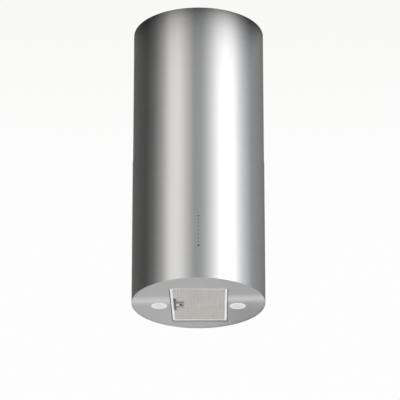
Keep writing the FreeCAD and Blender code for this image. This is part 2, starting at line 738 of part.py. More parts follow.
def lower_leg(name, x_side, y_side):
    """Angle leg screwed to the motor box, which slides inside the upper leg."""
    leg = Solid(f"lower_leg_{name}")
    leg.pad("Z", lower_leg_low, lower_leg_top,
            angle_section(x_side, y_side, leg_out_x, leg_out_y, size.leg_sheet, size.leg_width))
    clamp_r = size.clamp_screw_r + size.hole_gap
    leg.pocket("X", *span(x_side, box_x - OVERCUT, leg_out_x + OVERCUT),
               circle(y_side * slot_y, clamp_levels["X"], clamp_r),
               *[circle(y_side * slot_y, z, size.box_screw_r + size.hole_gap)
                 for z in leg_screw_z])
    leg.pocket("Y", *span(y_side, box_y - OVERCUT, leg_out_y + OVERCUT),
               circle(x_side * slot_x, clamp_levels["Y"], clamp_r))
    return leg


def box_screws():
    """Screws of the lower legs on the motor box and of the spider on the fan housing."""
    head, shank_r, head_r = size.box_head, size.box_screw_r, size.box_head_r
    depth = size.leg_sheet + size.box_sheet + size.screw_past
    made = [screw(f"box_screw_{name}_{place}", "X", x_side, leg_out_x, depth, head,
                  y_side * slot_y, z, shank_r, head_r)
            for name, x_side, y_side in corners() for place, z in enumerate(leg_screw_z)]
    seat = grommet_end + size.spider_sheet
    depth = seat - size.scroll_half_width + size.screw_past
    made += [screw(f"spider_screw_{n}", "X", 1, seat, depth, head, y, z, shank_r, head_r)
             for n, y, z in grommet_spots()]
    return group("box_screws", *made)


def clamp_screws():
    """Screws through the upper legs' slots, held in the lower legs."""
    made = []
    for name, x_side, y_side in corners():
        for axis, side, seat, inner, across in (
                ("X", x_side, rail_out_x, box_x, y_side * slot_y),
                ("Y", y_side, rail_out_y, box_y, x_side * slot_x)):
            depth = seat + size.near_gap - inner + size.clamp_nut
            made.append(screw(f"clamp_screw_{axis}_{name}", axis, side, seat + size.near_gap,
                              depth, size.clamp_head, across, clamp_levels[axis],
                              size.clamp_screw_r, size.clamp_head_r))
    return group("clamp_screws", *made)


def clamp_nuts():
    """Nuts on the inner faces of the lower legs."""
    made = []
    for name, x_side, y_side in corners():
        for axis, side, inner, across in (("X", x_side, box_x, y_side * slot_y),
                                          ("Y", y_side, box_y, x_side * slot_x)):
            made.append(nut(f"clamp_nut_{axis}_{name}", axis,
                            *span(side, inner - size.clamp_nut, inner), across,
                            clamp_levels[axis],
                            size.clamp_head_r, size.clamp_screw_r + size.hole_gap))
    return group("clamp_nuts", *made)


def stay_end():
    """How far a stay reaches so that its tab's corner stays inside the tube."""
    return root(lower_inner * lower_inner - size.stay_tab * size.stay_tab) - size.hole_gap


STAYS = (("right", box_x, lambda u, v: (u, v)), ("left", box_x, lambda u, v: (-u, -v)),
         ("rear", box_y, lambda u, v: (-v, u)), ("front", box_y, lambda u, v: (v, -u)))


def cover_stays():
    """Four U-shaped stays between the motor box and the lower tube."""
    made = []
    end, tab, thick = stay_end(), size.stay_tab, size.stay_sheet
    low = plate_top + size.stay_rise
    for name, wall, turn in STAYS:
        profile = [(wall, Dim(0)), (end, Dim(0)), (end, tab), (end - thick, tab),
                   (end - thick, thick), (wall + thick, thick), (wall + thick, tab), (wall, tab)]
        stay = Solid(f"stay_{name}")
        stay.pad("Z", low, low + size.stay_height, outline(*[turn(u, v) for u, v in profile]))
        axis = "X" if name in ("right", "left") else "Y"
        side = 1 if name in ("right", "rear") else -1
        across = turn(end, size.stud_across)[1 if axis == "X" else 0]
        stay.pocket(axis, *span(side, end - thick - OVERCUT, end + OVERCUT),
                    circle(across, stud_z, size.stud_r + size.hole_gap))
        made.append(stay)
    return group("cover_stays", *made)


def stud_places():
    """Axis, side and place across of the weld stud at each stay."""
    for name, _, turn in STAYS:
        axis = "X" if name in ("right", "left") else "Y"
        side = 1 if name in ("right", "rear") else -1
        across = turn(Dim(0), size.stud_across)[1 if axis == "X" else 0]
        yield name, axis, side, across


def cover_studs():
    """Weld studs on the inside of the lower tube."""
    reach = root(lower_inner * lower_inner - size.stay_tab * size.stay_tab)
    made = [rod(f"stud_{name}", axis, *span(side, reach - size.stud_length, reach), across,
                stud_z, size.stud_r) for name, axis, side, across in stud_places()]
    return group("cover_studs", *made)


def cover_nuts():
    """Nuts on the weld studs."""
    seat = stay_end() - size.stay_sheet
    made = [nut(f"stud_nut_{name}", axis, *span(side, seat - size.stud_nut, seat), across,
                stud_z, size.stud_r * 2, size.stud_r + size.hole_gap)
            for name, axis, side, across in stud_places()]
    return group("cover_nuts", *made)


# ---------------------------------------------------------------- fan

def scroll_solid(label, low, high, extra):
    """Drum and outlet neck filled solid, grown by extra all round."""
    drum = rod(f"{label}_drum", "X", low, high, drum_y, drum_z, drum_r + extra)
    neck = box(f"{label}_neck", (low, -size.outlet_half - extra, drum_z),
               (high, size.outlet_half + extra, scroll_end))
    return join(label, drum, neck)


def scroll_band():
    """The sheet that wraps round the impeller and rises to the outlet."""
    half = size.scroll_half_width
    return cut("scroll_band", scroll_solid("band_outside", -half, half, size.scroll_sheet),
               scroll_solid("band_inside", -half, half, 0))


def grommet_spots():
    """Places round the inlet where the motor's spider is held."""
    for turn in range(3):
        angle = math.radians(30 + 120 * turn)
        yield (turn, wheel_y + grommet_circle * round(math.cos(angle), 6),
               wheel_z + grommet_circle * round(math.sin(angle), 6))


def scroll_sides():
    """Side sheets of the fan housing, each with a round inlet."""
    made = []
    for name, side in (("left", -1), ("right", 1)):
        low, high = span(side, size.scroll_half_width, side_out)
        holes = [rod(f"side_{name}_inlet", "X", low, high, wheel_y, wheel_z,
                     inlet_r + size.inlet_play)]
        if side > 0:
            holes += [rod(f"side_hole_{n}", "X", low, high, y, z, size.frame_screw_r)
                      for n, y, z in grommet_spots()]
        blank = scroll_solid(f"side_{name}_blank", low, high, size.scroll_sheet)
        made.append(cut(f"side_{name}", blank, *holes))
    return group("scroll_sides", *made)


def inlet_rings():
    """Turned-in collars that lead the air into the impeller."""
    made = []
    for name, side in (("left", -1), ("right", 1)):
        collar = Solid(f"inlet_{name}")
        near, far = side_out - size.inlet_lip, side_out + size.scroll_sheet
        bore, brim = inlet_r - size.scroll_sheet, inlet_r + size.inlet_flange
        profile = [(near, bore), (far, bore), (far, brim), (side_out, brim),
                   (side_out, inlet_r), (near, inlet_r)]
        collar.revolve("X", outline(*[(side * x, r) for x, r in profile]))
        made.append(collar.place(0, wheel_y, wheel_z))
    return group("inlet_rings", *made)


def impeller_wheel():
    """Double-inlet drum of forward-leaning blades on one middle disc."""
    wheel = Solid("impeller_wheel")
    half, disc_half = size.wheel_half_width, size.wheel_ring / 2
    bore, lean = size.shaft_r + size.shaft_fit, size.blade_depth / 2
    blade_in, blade_out = wheel_r - size.blade_depth, wheel_r - size.blade_tip
    wheel.pad("X", -disc_half, disc_half, circle(0, 0, wheel_r), circle(0, 0, bore))
    for side in SIDES:
        wheel.pad("X", *span(side, half - size.wheel_ring, half), circle(0, 0, wheel_r),
                  circle(0, 0, blade_in + size.blade_depth / 3))
    wheel.pad("X", -size.hub_length, Dim(0), circle(0, 0, size.hub_r), circle(0, 0, bore))
    blade = wheel.pad("X", size.blade_end - half, half - size.blade_end, outline(
        (Dim(0), blade_in), (size.blade_sheet, blade_in),
        (size.blade_sheet + lean, blade_out), (lean, blade_out)))
    wheel.repeat("X", size.blade_count, blade)
    return wheel.place(0, wheel_y, wheel_z)


def motor_shaft():
    """Shaft that the impeller is fixed on."""
    low, high = -size.hub_length - size.shaft_end, grommet_end - size.shaft_end
    return rod("motor_shaft", "X", low, high, wheel_y, wheel_z, size.shaft_r)


def motor_body():
    """Motor can, inside the right half of the impeller."""
    return ring("motor_body", "X", size.motor_start, grommet_end, wheel_y, wheel_z, motor_r,
                size.bearing_r)


def motor_bearings():
    """Two sleeve bearings in the motor's ends."""
    far = grommet_end - size.bearing_back
    starts = (size.motor_start + size.bearing_front, far - size.bearing_length)
    return group("motor_bearings", *[
        ring(f"bearing_{place}", "X", start, start + size.bearing_length, wheel_y, wheel_z,
             size.bearing_r, size.shaft_r + size.shaft_gap) for place, start in enumerate(starts)])


def motor_spider():
    """Three-armed plate that carries the motor on the fan housing."""
    low, high = grommet_end, grommet_end + size.spider_sheet
    spider = Solid("motor_spider")
    spider.pad("X", low, high, circle(0, 0, size.spider_r))
    reach = grommet_circle + size.grommet_r + size.spider_end
    half = size.spider_arm / 2
    arm = spider.pad("X", low, high, rectangle(half, -half, reach, half))
    hole = spider.pocket("X", low - OVERCUT, high + OVERCUT,
                         circle(grommet_circle, 0, size.frame_screw_r))
    spider.repeat("X", 3, arm, hole)
    spider.place(0, wheel_y, wheel_z)
    spider.body.Placement.Rotation = Rotation(Vector(1, 0, 0), 30)
    return spider


def motor_grommets():
    """Rubber bushes between the spider and the fan housing."""
    return group("motor_grommets", *[
        ring(f"grommet_{n}", "X", side_out, grommet_end, y, z, size.grommet_r, size.frame_screw_r)
        for n, y, z in grommet_spots()])


# ---------------------------------------------------------------- outlet

def outlet_spigot():
    """Round collar on the motor box for the duct."""
    collar = Solid("outlet_spigot")
    bore, flange_top = size.duct_r - size.spigot_wall, box_top + size.spigot_wall
    collar.revolve("Z", outline(
        (bore, box_top), (size.duct_r + size.spigot_flange, box_top),
        (size.duct_r + size.spigot_flange, flange_top), (size.duct_r, flange_top),
        (size.duct_r, spigot_top), (bore, spigot_top)))
    collar.pocket("X", -size.duct_r - OVERCUT, size.duct_r + OVERCUT,
                  circle(0, flap_z, size.flap_pin_r + size.shaft_gap))
    return collar


def flap_pin():
    """Pin across the collar that both flaps turn on."""
    reach = size.duct_r - size.pin_end_gap
    return rod("flap_pin", "X", -reach, reach, 0, flap_z, size.flap_pin_r)


def flap(name, y_side, places):
    """Half-round flap with its share of the knuckles on the pin."""
    leaf = Solid(f"flap_{name}")
    radius = size.duct_r - size.spigot_wall - size.flap_gap
    edge = size.knuckle_r + size.near_gap
    half = size.flap_sheet / 2
    leaf.pad("Z", -half, half, circle(0, 0, radius))
    far = radius + OVERCUT
    low, high = span(y_side, -far, edge)
    leaf.pocket("Z", -half - OVERCUT, half + OVERCUT, rectangle(-far, low, far, high))
    web_low, web_high = span(y_side, size.web_start, edge + size.flap_sheet)
    for place in places:
        start = knuckle_pitch * (place - 2) + size.knuckle_gap / 2
        end = start + knuckle_pitch - size.knuckle_gap
        leaf.pad("X", start, end, circle(0, 0, size.knuckle_r))
        leaf.pad("X", start, end, rectangle(web_low, -half, web_high, half))
    leaf.pocket("X", -far, far, circle(0, 0, size.flap_pin_r + size.shaft_gap))
    return leaf.place(0, 0, flap_z)


# ---------------------------------------------------------------- electrics

def electronics_box():
    """Plastic case on the right wall of the motor box."""
    half, wall = size.case_half, size.case_wall
    shell = box("case_shell", (box_x, -half, case_low), (case_out, half, case_top))
    room = box("case_room", (box_x + wall, wall - half, case_low + wall),
               (case_out + OVERCUT, half - wall, case_top - wall))
    return cut("electronics_box", shell, room)


def electronics_lid():
    """Lid of the case, with a lip that fits inside it."""
    half, wall = size.case_half, size.case_wall
    inset = wall + size.near_gap
    lip_in, room = case_out - size.lid_lip, inset + wall
    cap = box("lid_cap", (case_out, -half, case_low), (case_out + wall, half, case_top))
    lip = box("lid_lip", (lip_in, inset - half, case_low + inset),
              (case_out, half - inset, case_top - inset))
    hollow = box("lid_hollow", (lip_in - OVERCUT, room - half, case_low + room),
                 (case_out, half - room, case_top - room))
    return cut("electronics_lid", join("lid_blank", cap, lip), hollow)


# Blocks on the circuit board: across and up from its middle, width, height and depth.
BOARD_BLOCKS = {"transformer": (-40, -30, 30, 34, 20), "relay_low": (0, -36, 14, 18, 15),
                "relay_high": (20, -36, 14, 18, 15), "connectors": (-30, 24, 60, 12, 10)}


def control_board():
    """Circuit board with its transformer, relays and connectors, on four posts."""
    inset, wall_face = size.case_wall + size.board_inset, box_x + size.case_wall
    seat = wall_face + size.board_stand
    face, middle, post = seat + size.board_sheet, (case_low + case_top) / 2, size.board_post
    left, right = inset - size.case_half, size.case_half - inset
    low, high = case_low + inset, case_top - inset
    plate = box("board_plate", (seat, left, low), (face, right, high))
    blocks = [box(f"board_{name}", (seat, Dim(y), middle + z),
                  (face + deep, Dim(y + wide), middle + z + tall))
              for name, (y, z, wide, tall, deep) in BOARD_BLOCKS.items()]
    posts = [box(f"board_post_{y_name}_{z_name}", (wall_face, y, z), (seat, y + post, z + post))
             for y_name, y in (("front", left), ("rear", right - post))
             for z_name, z in (("low", low), ("high", high - post))]
    return join("control_board", plate, *blocks, *posts)


def capacitor():
    """Run capacitor of the motor, upright on the left wall."""
    can = rod("capacitor_can", "Z", capacitor_low, capacitor_top, capacitor_x,
              size.capacitor_y, size.capacitor_r)
    stem = rod("capacitor_stem_part", "Z", capacitor_top, capacitor_top + size.capacitor_stem,
               capacitor_x, size.capacitor_y, size.capacitor_stem_r)
    return join("capacitor", can, stem)


def capacitor_clip():
    """Sheet band that holds the capacitor to the wall."""
    low = capacitor_low + size.capacitor_height / 2
    high = low + size.clip_height
    outer = size.capacitor_r + size.clip_sheet
    reach = outer + size.clip_foot
    band = rod("clip_band", "Z", low, high, capacitor_x, size.capacitor_y, outer)
    foot = box("clip_foot_part", (-box_x - size.clip_sheet, size.capacitor_y - reach, low),
               (-box_x, size.capacitor_y + reach, high))
    bore = rod("clip_bore", "Z", low, high, capacitor_x, size.capacitor_y,
               size.capacitor_r + size.hole_gap / 2)
    return cut("capacitor_clip", join("clip_blank", band, foot), bore)


def terminal_box():
    """Wiring box on the motor box's top, rear right, over the cable hole."""
    half, wall = size.terminal_size / 2, size.case_wall
    inside = half - wall
    shell = box("terminal_shell", (terminal_x - half, terminal_y - half, box_top),
                (terminal_x + half, terminal_y + half, terminal_top))
    room = box("terminal_room",
               (terminal_x - inside, terminal_y - inside, box_top + wall),
               (terminal_x + inside, terminal_y + inside, terminal_top - wall))
    entry = rod("terminal_entry", "Z", box_top - OVERCUT, box_top + wall + OVERCUT, terminal_x,
                terminal_y, size.gland_nose_r)
    inlet = rod("terminal_inlet", "Z", terminal_top - wall - OVERCUT, terminal_top + OVERCUT,
                terminal_x, terminal_y, size.terminal_inlet_r)
    return cut("terminal_box", shell, room, entry, inlet)


def cable_gland():
    """Clamping gland of the mains cable, on the terminal box."""
    high = terminal_top + size.gland_length
    hexed = hexagon("gland_hex", "Z", terminal_top, terminal_top + size.gland_length / 2,
                    terminal_x, terminal_y, size.gland_hex_r)
    nose = rod("gland_nose", "Z", terminal_top, high, terminal_x, terminal_y, size.gland_nose_r)
    bore = rod("gland_bore", "Z", terminal_top - OVERCUT, high + OVERCUT, terminal_x,
               terminal_y, size.gland_bore_r)
    return cut("cable_gland", join("gland_blank", hexed, nose), bore)


# ---------------------------------------------------------------- touch control

def touch_tray():
    """Tray behind the marks; its rim follows the tube."""
    power, _, minus = touch_marks()
    low, high, wall = power - size.tray_margin, minus + size.tray_margin, size.tray_wall
    blank = box("tray_blank", (-size.tray_half, -cover_r, low), (size.tray_half, tray_back, high))
    tube = rod("tray_tube", "Z", low - OVERCUT, high + OVERCUT, 0, 0, lower_inner - size.hole_gap)
    room = box("tray_room", (wall - size.tray_half, -cover_r - OVERCUT, low + wall),
               (size.tray_half - wall, tray_back - wall, high - wall))
    return cut("touch_tray", common("tray_shell", blank, tube), room)


def touch_board():
    """Sensor board in the tray."""
    power, _, minus = touch_marks()
    inset = size.tray_wall + size.near_gap
    return box("touch_board", (inset - size.tray_half, board_front, power - size.tray_margin + inset),
               (size.tray_half - inset, tray_back - size.tray_wall, minus + size.tray_margin - inset))


def touch_beads():
    """Light guides from the board through the tube."""
    _, beads, _ = touch_marks()
    return group("touch_beads", *[
        rod(f"bead_{n}", "Y", mark_front, board_front, 0, z, size.bead_r)
        for n, z in enumerate(beads)])


def power_pad():
    """Round on and off mark."""
    power, _, _ = touch_marks()
    return rod("power_pad", "Y", mark_front, board_front, 0, power, size.power_r)


def minus_pad():
    """Short level bar at the top of the row."""
    _, _, minus = touch_marks()
    half = size.dash_half - size.dash_r
    bar = Solid("minus_pad")
    bar.pad("Y", mark_front, board_front, slot(-half, minus, half, minus, size.dash_r))
    return bar


# ---------------------------------------------------------------- lamps

def lamp_rings():
    """White trim rings with a sleeve through the plate."""
    low, sleeve_top = plate_low - size.lamp_ring_drop, plate_low + size.lamp_sleeve_height
    inner, sleeve_in = size.lamp_glass_r + size.glass_gap, size.lamp_sleeve_r - size.lamp_sleeve_wall
    made = []
    for name, side in (("left", -1), ("right", 1)):
        trim = Solid(f"lamp_ring_{name}")
        trim.revolve("Z", outline(
            (inner, low), (size.lamp_ring_r, plate_low - size.lamp_ring_edge),
            (size.lamp_ring_r, plate_low), (size.lamp_sleeve_r, plate_low),
            (size.lamp_sleeve_r, sleeve_top), (sleeve_in, sleeve_top),
            (sleeve_in, plate_low), (inner, plate_low)))
        made.append(trim.place(side * lamp_x, size.lamp_y, 0))
    return group("lamp_rings", *made)


def lamp_glasses():
    """Frosted domed lenses that sit in the trim rings."""
    made = []
    low = plate_low - size.glass_drop
    seat_r = size.lamp_sleeve_r - size.lamp_sleeve_wall - size.glass_gap
    for name, side in (("left", -1), ("right", 1)):
        x = side * lamp_x
        blank = rod(f"glass_blank_{name}", "Z", low, plate_low, x, size.lamp_y, size.lamp_glass_r)
        ball = doc.addObject("Part::Sphere", f"glass_ball_{name}")
        ball.setExpression("Radius", formula(size.glass_dome_r))
        move(ball, x, size.lamp_y, low + size.glass_dome_r)
        domed = common(f"glass_dome_{name}", blank, ball)
        seat = rod(f"glass_seat_{name}", "Z", plate_low, plate_low + size.glass_seat, x,
                   size.lamp_y, seat_r)
        made.append(join(f"glass_{name}", domed, seat))
    return group("lamp_glasses", *made)


def lamp_cans():
    """Reflector cups over the lamp holes."""
    made = []
    inner, under = size.lamp_can_r - size.lamp_can_wall, lamp_can_top - size.lamp_can_wall
    for name, side in (("left", -1), ("right", 1)):
        cup = Solid(f"lamp_can_{name}")
        cup.revolve("Z", outline(
            (inner, plate_top), (size.lamp_can_r, plate_top), (size.lamp_can_r, lamp_can_top),
            (size.lamp_can_bore, lamp_can_top), (size.lamp_can_bore, under), (inner, under)))
        made.append(cup.place(side * lamp_x, size.lamp_y, 0))
    return group("lamp_cans", *made)


def lamp_modules():
    """Light-emitting modules hung from the cups' tops."""
    top = lamp_can_top - size.lamp_can_wall
    return group("lamp_modules", *[
        rod(f"lamp_module_{name}", "Z", top - size.lamp_module_height, top, side * lamp_x,
            size.lamp_y, size.lamp_module_r) for name, side in (("left", -1), ("right", 1))])


# ---------------------------------------------------------------- filter

def filter_frame():
    """Aluminium channel frame, open inward, with the tongue's hole on the left."""
    frame = Solid("filter_frame")
    wall = size.filter_sheet
    left, right = -filter_x, filter_x
    window = rectangle(left + size.filter_side, filter_front + size.filter_end,
                       right - size.filter_side, filter_back - size.filter_end)
    frame.pad("Z", filter_low, filter_top,
              rounded(left, filter_front, right, filter_back, size.filter_corner_r), window)
    frame.pocket("Z", filter_low + wall, filter_top - wall,
                 rectangle(left + wall, filter_front + wall, right - wall, filter_back - wall))
    half = tongue_half + size.near_gap
    frame.pocket("X", left - OVERCUT, left + wall + OVERCUT, rectangle(
        filter_middle - half, tongue_low - size.near_gap,
        filter_middle + half, tongue_top + size.near_gap))
    frame.pocket("Y", filter_front - OVERCUT, filter_front + wall + OVERCUT,
                 circle(hinge_x, hinge_z, size.hinge_pin_r))
    frame.pocket("Y", filter_back - wall - OVERCUT, filter_back + OVERCUT,
                 circle(hinge_x, hinge_z, size.hinge_pin_r))
    return frame


def notched_slab(label, low, high):
    """A sheet that fills the frame's channel, cut away round the latch."""
    slab = box(f"{label}_sheet", (-mesh_x, mesh_front, low), (mesh_x, mesh_back, high))
    half = block_half + size.core_gap
    notch = box(f"{label}_notch", (-mesh_x - OVERCUT, filter_middle - half, low - OVERCUT),
                (stem_right + size.core_gap, filter_middle + half, high + OVERCUT))
    return cut(label, slab, notch)


def filter_mesh():
    """Expanded metal sheets on both faces of the filter."""
    low, high = filter_low + size.filter_sheet, filter_top - size.filter_sheet
    return group("filter_mesh", notched_slab("mesh_face", low, low + size.mesh_sheet),
                 notched_slab("mesh_back", high - size.mesh_sheet, high))


def filter_core():
    """Pad of crimped aluminium layers between the two sheets."""
    skin = size.filter_sheet + size.mesh_sheet
    return notched_slab("filter_core", filter_low + skin, filter_top - skin)


def filter_hinge_pins():
    """Two stub pins that the filter hangs on while it swings down."""
    reach = size.flange_sheet - size.pin_end_gap
    inside = size.filter_sheet
    front = rod("pin_front", "Y", open_front - reach, filter_front + inside, hinge_x, hinge_z,
                size.hinge_pin_r)
    back = rod("pin_back", "Y", filter_back - inside, open_back + reach, hinge_x, hinge_z,
               size.hinge_pin_r)
    return group("filter_hinge_pins", front, back)


def latch_housing():
    """T-shaped plastic face with a guide block behind it."""
    bar_half = size.latch_bar_length / 2
    face = Solid("latch_face_plate")
    middle = filter_middle
    face.pad("Z", latch_low, filter_low + size.filter_sheet, outline(
        (latch_left, middle - bar_half), (latch_left + size.latch_bar, middle - bar_half),
        (latch_left + size.latch_bar, middle - latch_half), (stem_right, middle - latch_half),
        (stem_right, middle + latch_half), (latch_left + size.latch_bar, middle + latch_half),
        (latch_left + size.latch_bar, middle + bar_half), (latch_left, middle + bar_half)))
    block = box("latch_block_blank", (latch_left, middle - block_half, latch_low),
                (stem_right, middle + block_half, filter_low + size.latch_block))
    half = tongue_half + size.near_gap
    channel = box("latch_channel",
                  (latch_left - OVERCUT, middle - half, tongue_low - size.near_gap),
                  (stem_right - size.latch_wall, middle + half, tongue_top + size.near_gap))
    window_half = size.button_width / 2 + size.near_gap
    window_right = button_left + size.button_length + size.latch_travel + size.near_gap
    window = box("latch_window",
                 (button_left - size.near_gap, middle - window_half, latch_low - OVERCUT),
                 (window_right, middle + window_half, tongue_top))
    return cut("latch_housing", join("latch_blank", face, block), channel, window)


def latch_slider():
    """Sliding tongue with its finger button."""
    middle, knob = filter_middle, size.button_width / 2
    tongue = box("tongue", (tongue_left, middle - tongue_half, tongue_low),
                 (tongue_right, middle + tongue_half, tongue_top))
    button = box("button", (button_left, middle - knob, latch_low - size.button_proud),
                 (button_left + size.button_length, middle + knob, tongue_top))
    return join("latch_slider", tongue, button)


def latch_spring():
    """Bent leaf that pushes the tongue out."""
    spring = Solid("latch_spring")
    left, right = tongue_right + size.spring_gap, stem_right - size.latch_wall - size.spring_gap
    reach, thick, middle = size.spring_reach, size.spring_sheet, filter_middle
    low, high = tongue_low + size.spring_side_gap, tongue_top - size.spring_side_gap
    spring.pad("Z", low, high, outline(
        (left, middle), (right - thick, middle - reach), (right, middle - reach),
        (left + 2 * thick, middle), (right, middle + reach), (right - thick, middle + reach)))
    return spring


# ---------------------------------------------------------------- build and write

def make_parts():
    parts = [ceiling_bracket(), cable_grommet(), upper_brace(), upper_frame_screws(),
             cover_hanger_screws(), upper_cover(), lower_cover(), base_plate(), motor_box(),
             base_rivets(), box_screws(), clamp_screws(), clamp_nuts(), cover_stays(),
             cover_studs(), cover_nuts(), scroll_band(), scroll_sides(), inlet_rings(),
             impeller_wheel(), motor_shaft(), motor_body(), motor_bearings(), motor_spider(),
             motor_grommets(), outlet_spigot(), flap_pin(),
             flap("front", -1, (0, 2)), flap("rear", 1, (1, 3)), electronics_box(),
             electronics_lid(), control_board(), capacitor(), capacitor_clip(), terminal_box(),
             cable_gland(), touch_tray(), touch_board(), touch_beads(), power_pad(), minus_pad(),
             lamp_rings(), lamp_glasses(), lamp_cans(), lamp_modules(), filter_frame(),
             filter_mesh(), filter_core(), filter_hinge_pins(), latch_housing(), latch_slider(),
             latch_spring()]
    for name, x_side, y_side in corners():
        parts += [upper_leg(name, x_side, y_side), lower_leg(name, x_side, y_side)]
    return [whole(part) for part in parts]


def check_and_write(parts):
    failed = [thing.Label for thing in doc.Objects
              if any(word in thing.State for word in ("Invalid", "Error"))]
    assert not failed, f"failed features: {failed}"
    for part in parts:
        assert not part.Shape.isNull() and part.Shape.isValid(), f"bad shape: {part.Label}"
    os.makedirs("parts", exist_ok=True)
    for part in parts:
        part.Shape.exportStep(f"parts/{part.Label}.step")
        print(f"{part.Label}: {len(part.Shape.Solids)} solids, {part.Shape.Volume:.0f} mm3")


all_parts = make_parts()
doc.recompute()
check_and_write(all_parts)
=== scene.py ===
import json
import math

import bmesh
import bpy
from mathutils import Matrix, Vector


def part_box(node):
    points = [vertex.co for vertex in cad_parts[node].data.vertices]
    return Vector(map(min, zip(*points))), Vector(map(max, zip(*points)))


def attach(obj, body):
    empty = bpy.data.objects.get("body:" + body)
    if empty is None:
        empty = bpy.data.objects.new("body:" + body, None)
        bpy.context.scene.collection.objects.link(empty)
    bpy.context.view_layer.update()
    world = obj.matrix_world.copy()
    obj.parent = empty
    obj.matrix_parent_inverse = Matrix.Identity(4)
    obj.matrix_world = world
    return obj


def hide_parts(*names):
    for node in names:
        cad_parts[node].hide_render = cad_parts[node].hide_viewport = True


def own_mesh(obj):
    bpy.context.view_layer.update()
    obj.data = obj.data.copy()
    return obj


# Looks of a ceiling-hung tube hood. Metres, +Z up, -Y is the front with the touch marks.

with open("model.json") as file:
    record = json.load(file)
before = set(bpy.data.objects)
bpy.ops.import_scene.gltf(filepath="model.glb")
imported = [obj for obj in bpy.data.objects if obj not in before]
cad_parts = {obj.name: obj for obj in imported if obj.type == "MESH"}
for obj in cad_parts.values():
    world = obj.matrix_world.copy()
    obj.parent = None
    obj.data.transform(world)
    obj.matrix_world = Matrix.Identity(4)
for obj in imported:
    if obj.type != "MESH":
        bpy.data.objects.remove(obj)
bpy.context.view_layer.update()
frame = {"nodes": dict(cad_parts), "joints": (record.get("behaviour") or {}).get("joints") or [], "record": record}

MM = 0.001
NODES = frame["nodes"]
SLOTS = {row["node"]: row["material_slot"] for row in frame["record"]["subparts"]}


def node_box(node):
    low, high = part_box(node)
    return Vector(low), Vector(high)


# ---------------------------------------------------------------- places from the frame

cover_low, cover_high = node_box("lower_cover")
upper_low, upper_high = node_box("upper_cover")
plate_low, plate_high = node_box("base_plate")
filter_low, filter_high = node_box("filter_frame")
mesh_low, mesh_high = node_box("filter_mesh")
latch_low, latch_high = node_box("latch_housing")
slider_low, slider_high = node_box("latch_slider")
rings_low, rings_high = node_box("lamp_rings")

cover_r = cover_high.x
upper_r = upper_high.x
plate_r = plate_high.x
plate_z = plate_low.z
filter_x = filter_high.x
latch_y = (latch_low.y + latch_high.y) / 2
lamp_ring_r = (rings_high.y - rings_low.y) / 2
lamp_y = (rings_low.y + rings_high.y) / 2
lamp_x = rings_high.x - lamp_ring_r

COVER_SHEET = 0.6 * MM
PLATE_SHEET = 1.0 * MM
PLATE_BEND = 1.6 * MM
PLATE_RIM = 12.0 * MM
FLANGE = 14.0 * MM
LAMP_HOLE_INSET = 1.4 * MM
RIVET_HOLE_R = 2.0 * MM
HINGE_HOLE_R = 2.05 * MM
FILTER_GAP = 1.5 * MM
FILTER_BACK_GAP = 2.0 * MM
FILTER_SIDE = 7.0 * MM
FILTER_END = 8.0 * MM
FILTER_SHEET = 1.2 * MM
FILTER_SLANT = 8.0 * MM
MESH_SEAT = 4.0 * MM
OPENING_CORNER = 3.0 * MM
BUTTON = Vector((9.0 * MM, 12.0 * MM))
BUTTON_INSET = 11.0 * MM
LATCH_BAR = 6.5 * MM
STEM_HALF = 17.5 * MM
LATCH_TRAVEL = 7.0 * MM
TONGUE_THICK = 2.0 * MM
LAMP_TRIM = 3.6 * MM
RING_STEPS = 96


def filter_left(y):
    """The filter's left edge, which leans inward towards the rear."""
    return -filter_x + FILTER_SLANT * (y - filter_low.y) / (filter_high.y - filter_low.y)


# ---------------------------------------------------------------- shader maths

def operator(operation, swapped=False):
    """A method that puts the signal and another value through one Math node."""
    def apply(signal, other):
        values = (other, signal) if swapped else (signal, other)
        return signal.nodes.math(operation, *values)
    return apply


class Signal:
    """One output socket, on which plain arithmetic adds Math nodes."""

    def __init__(self, nodes, socket):
        self.nodes = nodes
        self.socket = socket

    __add__, __radd__ = operator("ADD"), operator("ADD", True)
    __sub__, __rsub__ = operator("SUBTRACT"), operator("SUBTRACT", True)
    __mul__, __rmul__ = operator("MULTIPLY"), operator("MULTIPLY", True)
    __truediv__, __rtruediv__ = operator("DIVIDE"), operator("DIVIDE", True)
    __pow__, __rpow__ = operator("POWER"), operator("POWER", True)

    def __neg__(self):
        return self * -1.0

    def math(self, operation, *others):
        return self.nodes.math(operation, self, *others)

    def ramp(self, low, high, start=0.0, end=1.0):
        """Smooth step from start to end while the signal goes from low to high."""
        return self.nodes.add("MapRange", {"interpolation_type": "SMOOTHSTEP", "clamp": True}, {
            "Value": self, "From Min": low, "From Max": high, "To Min": start, "To Max": end})


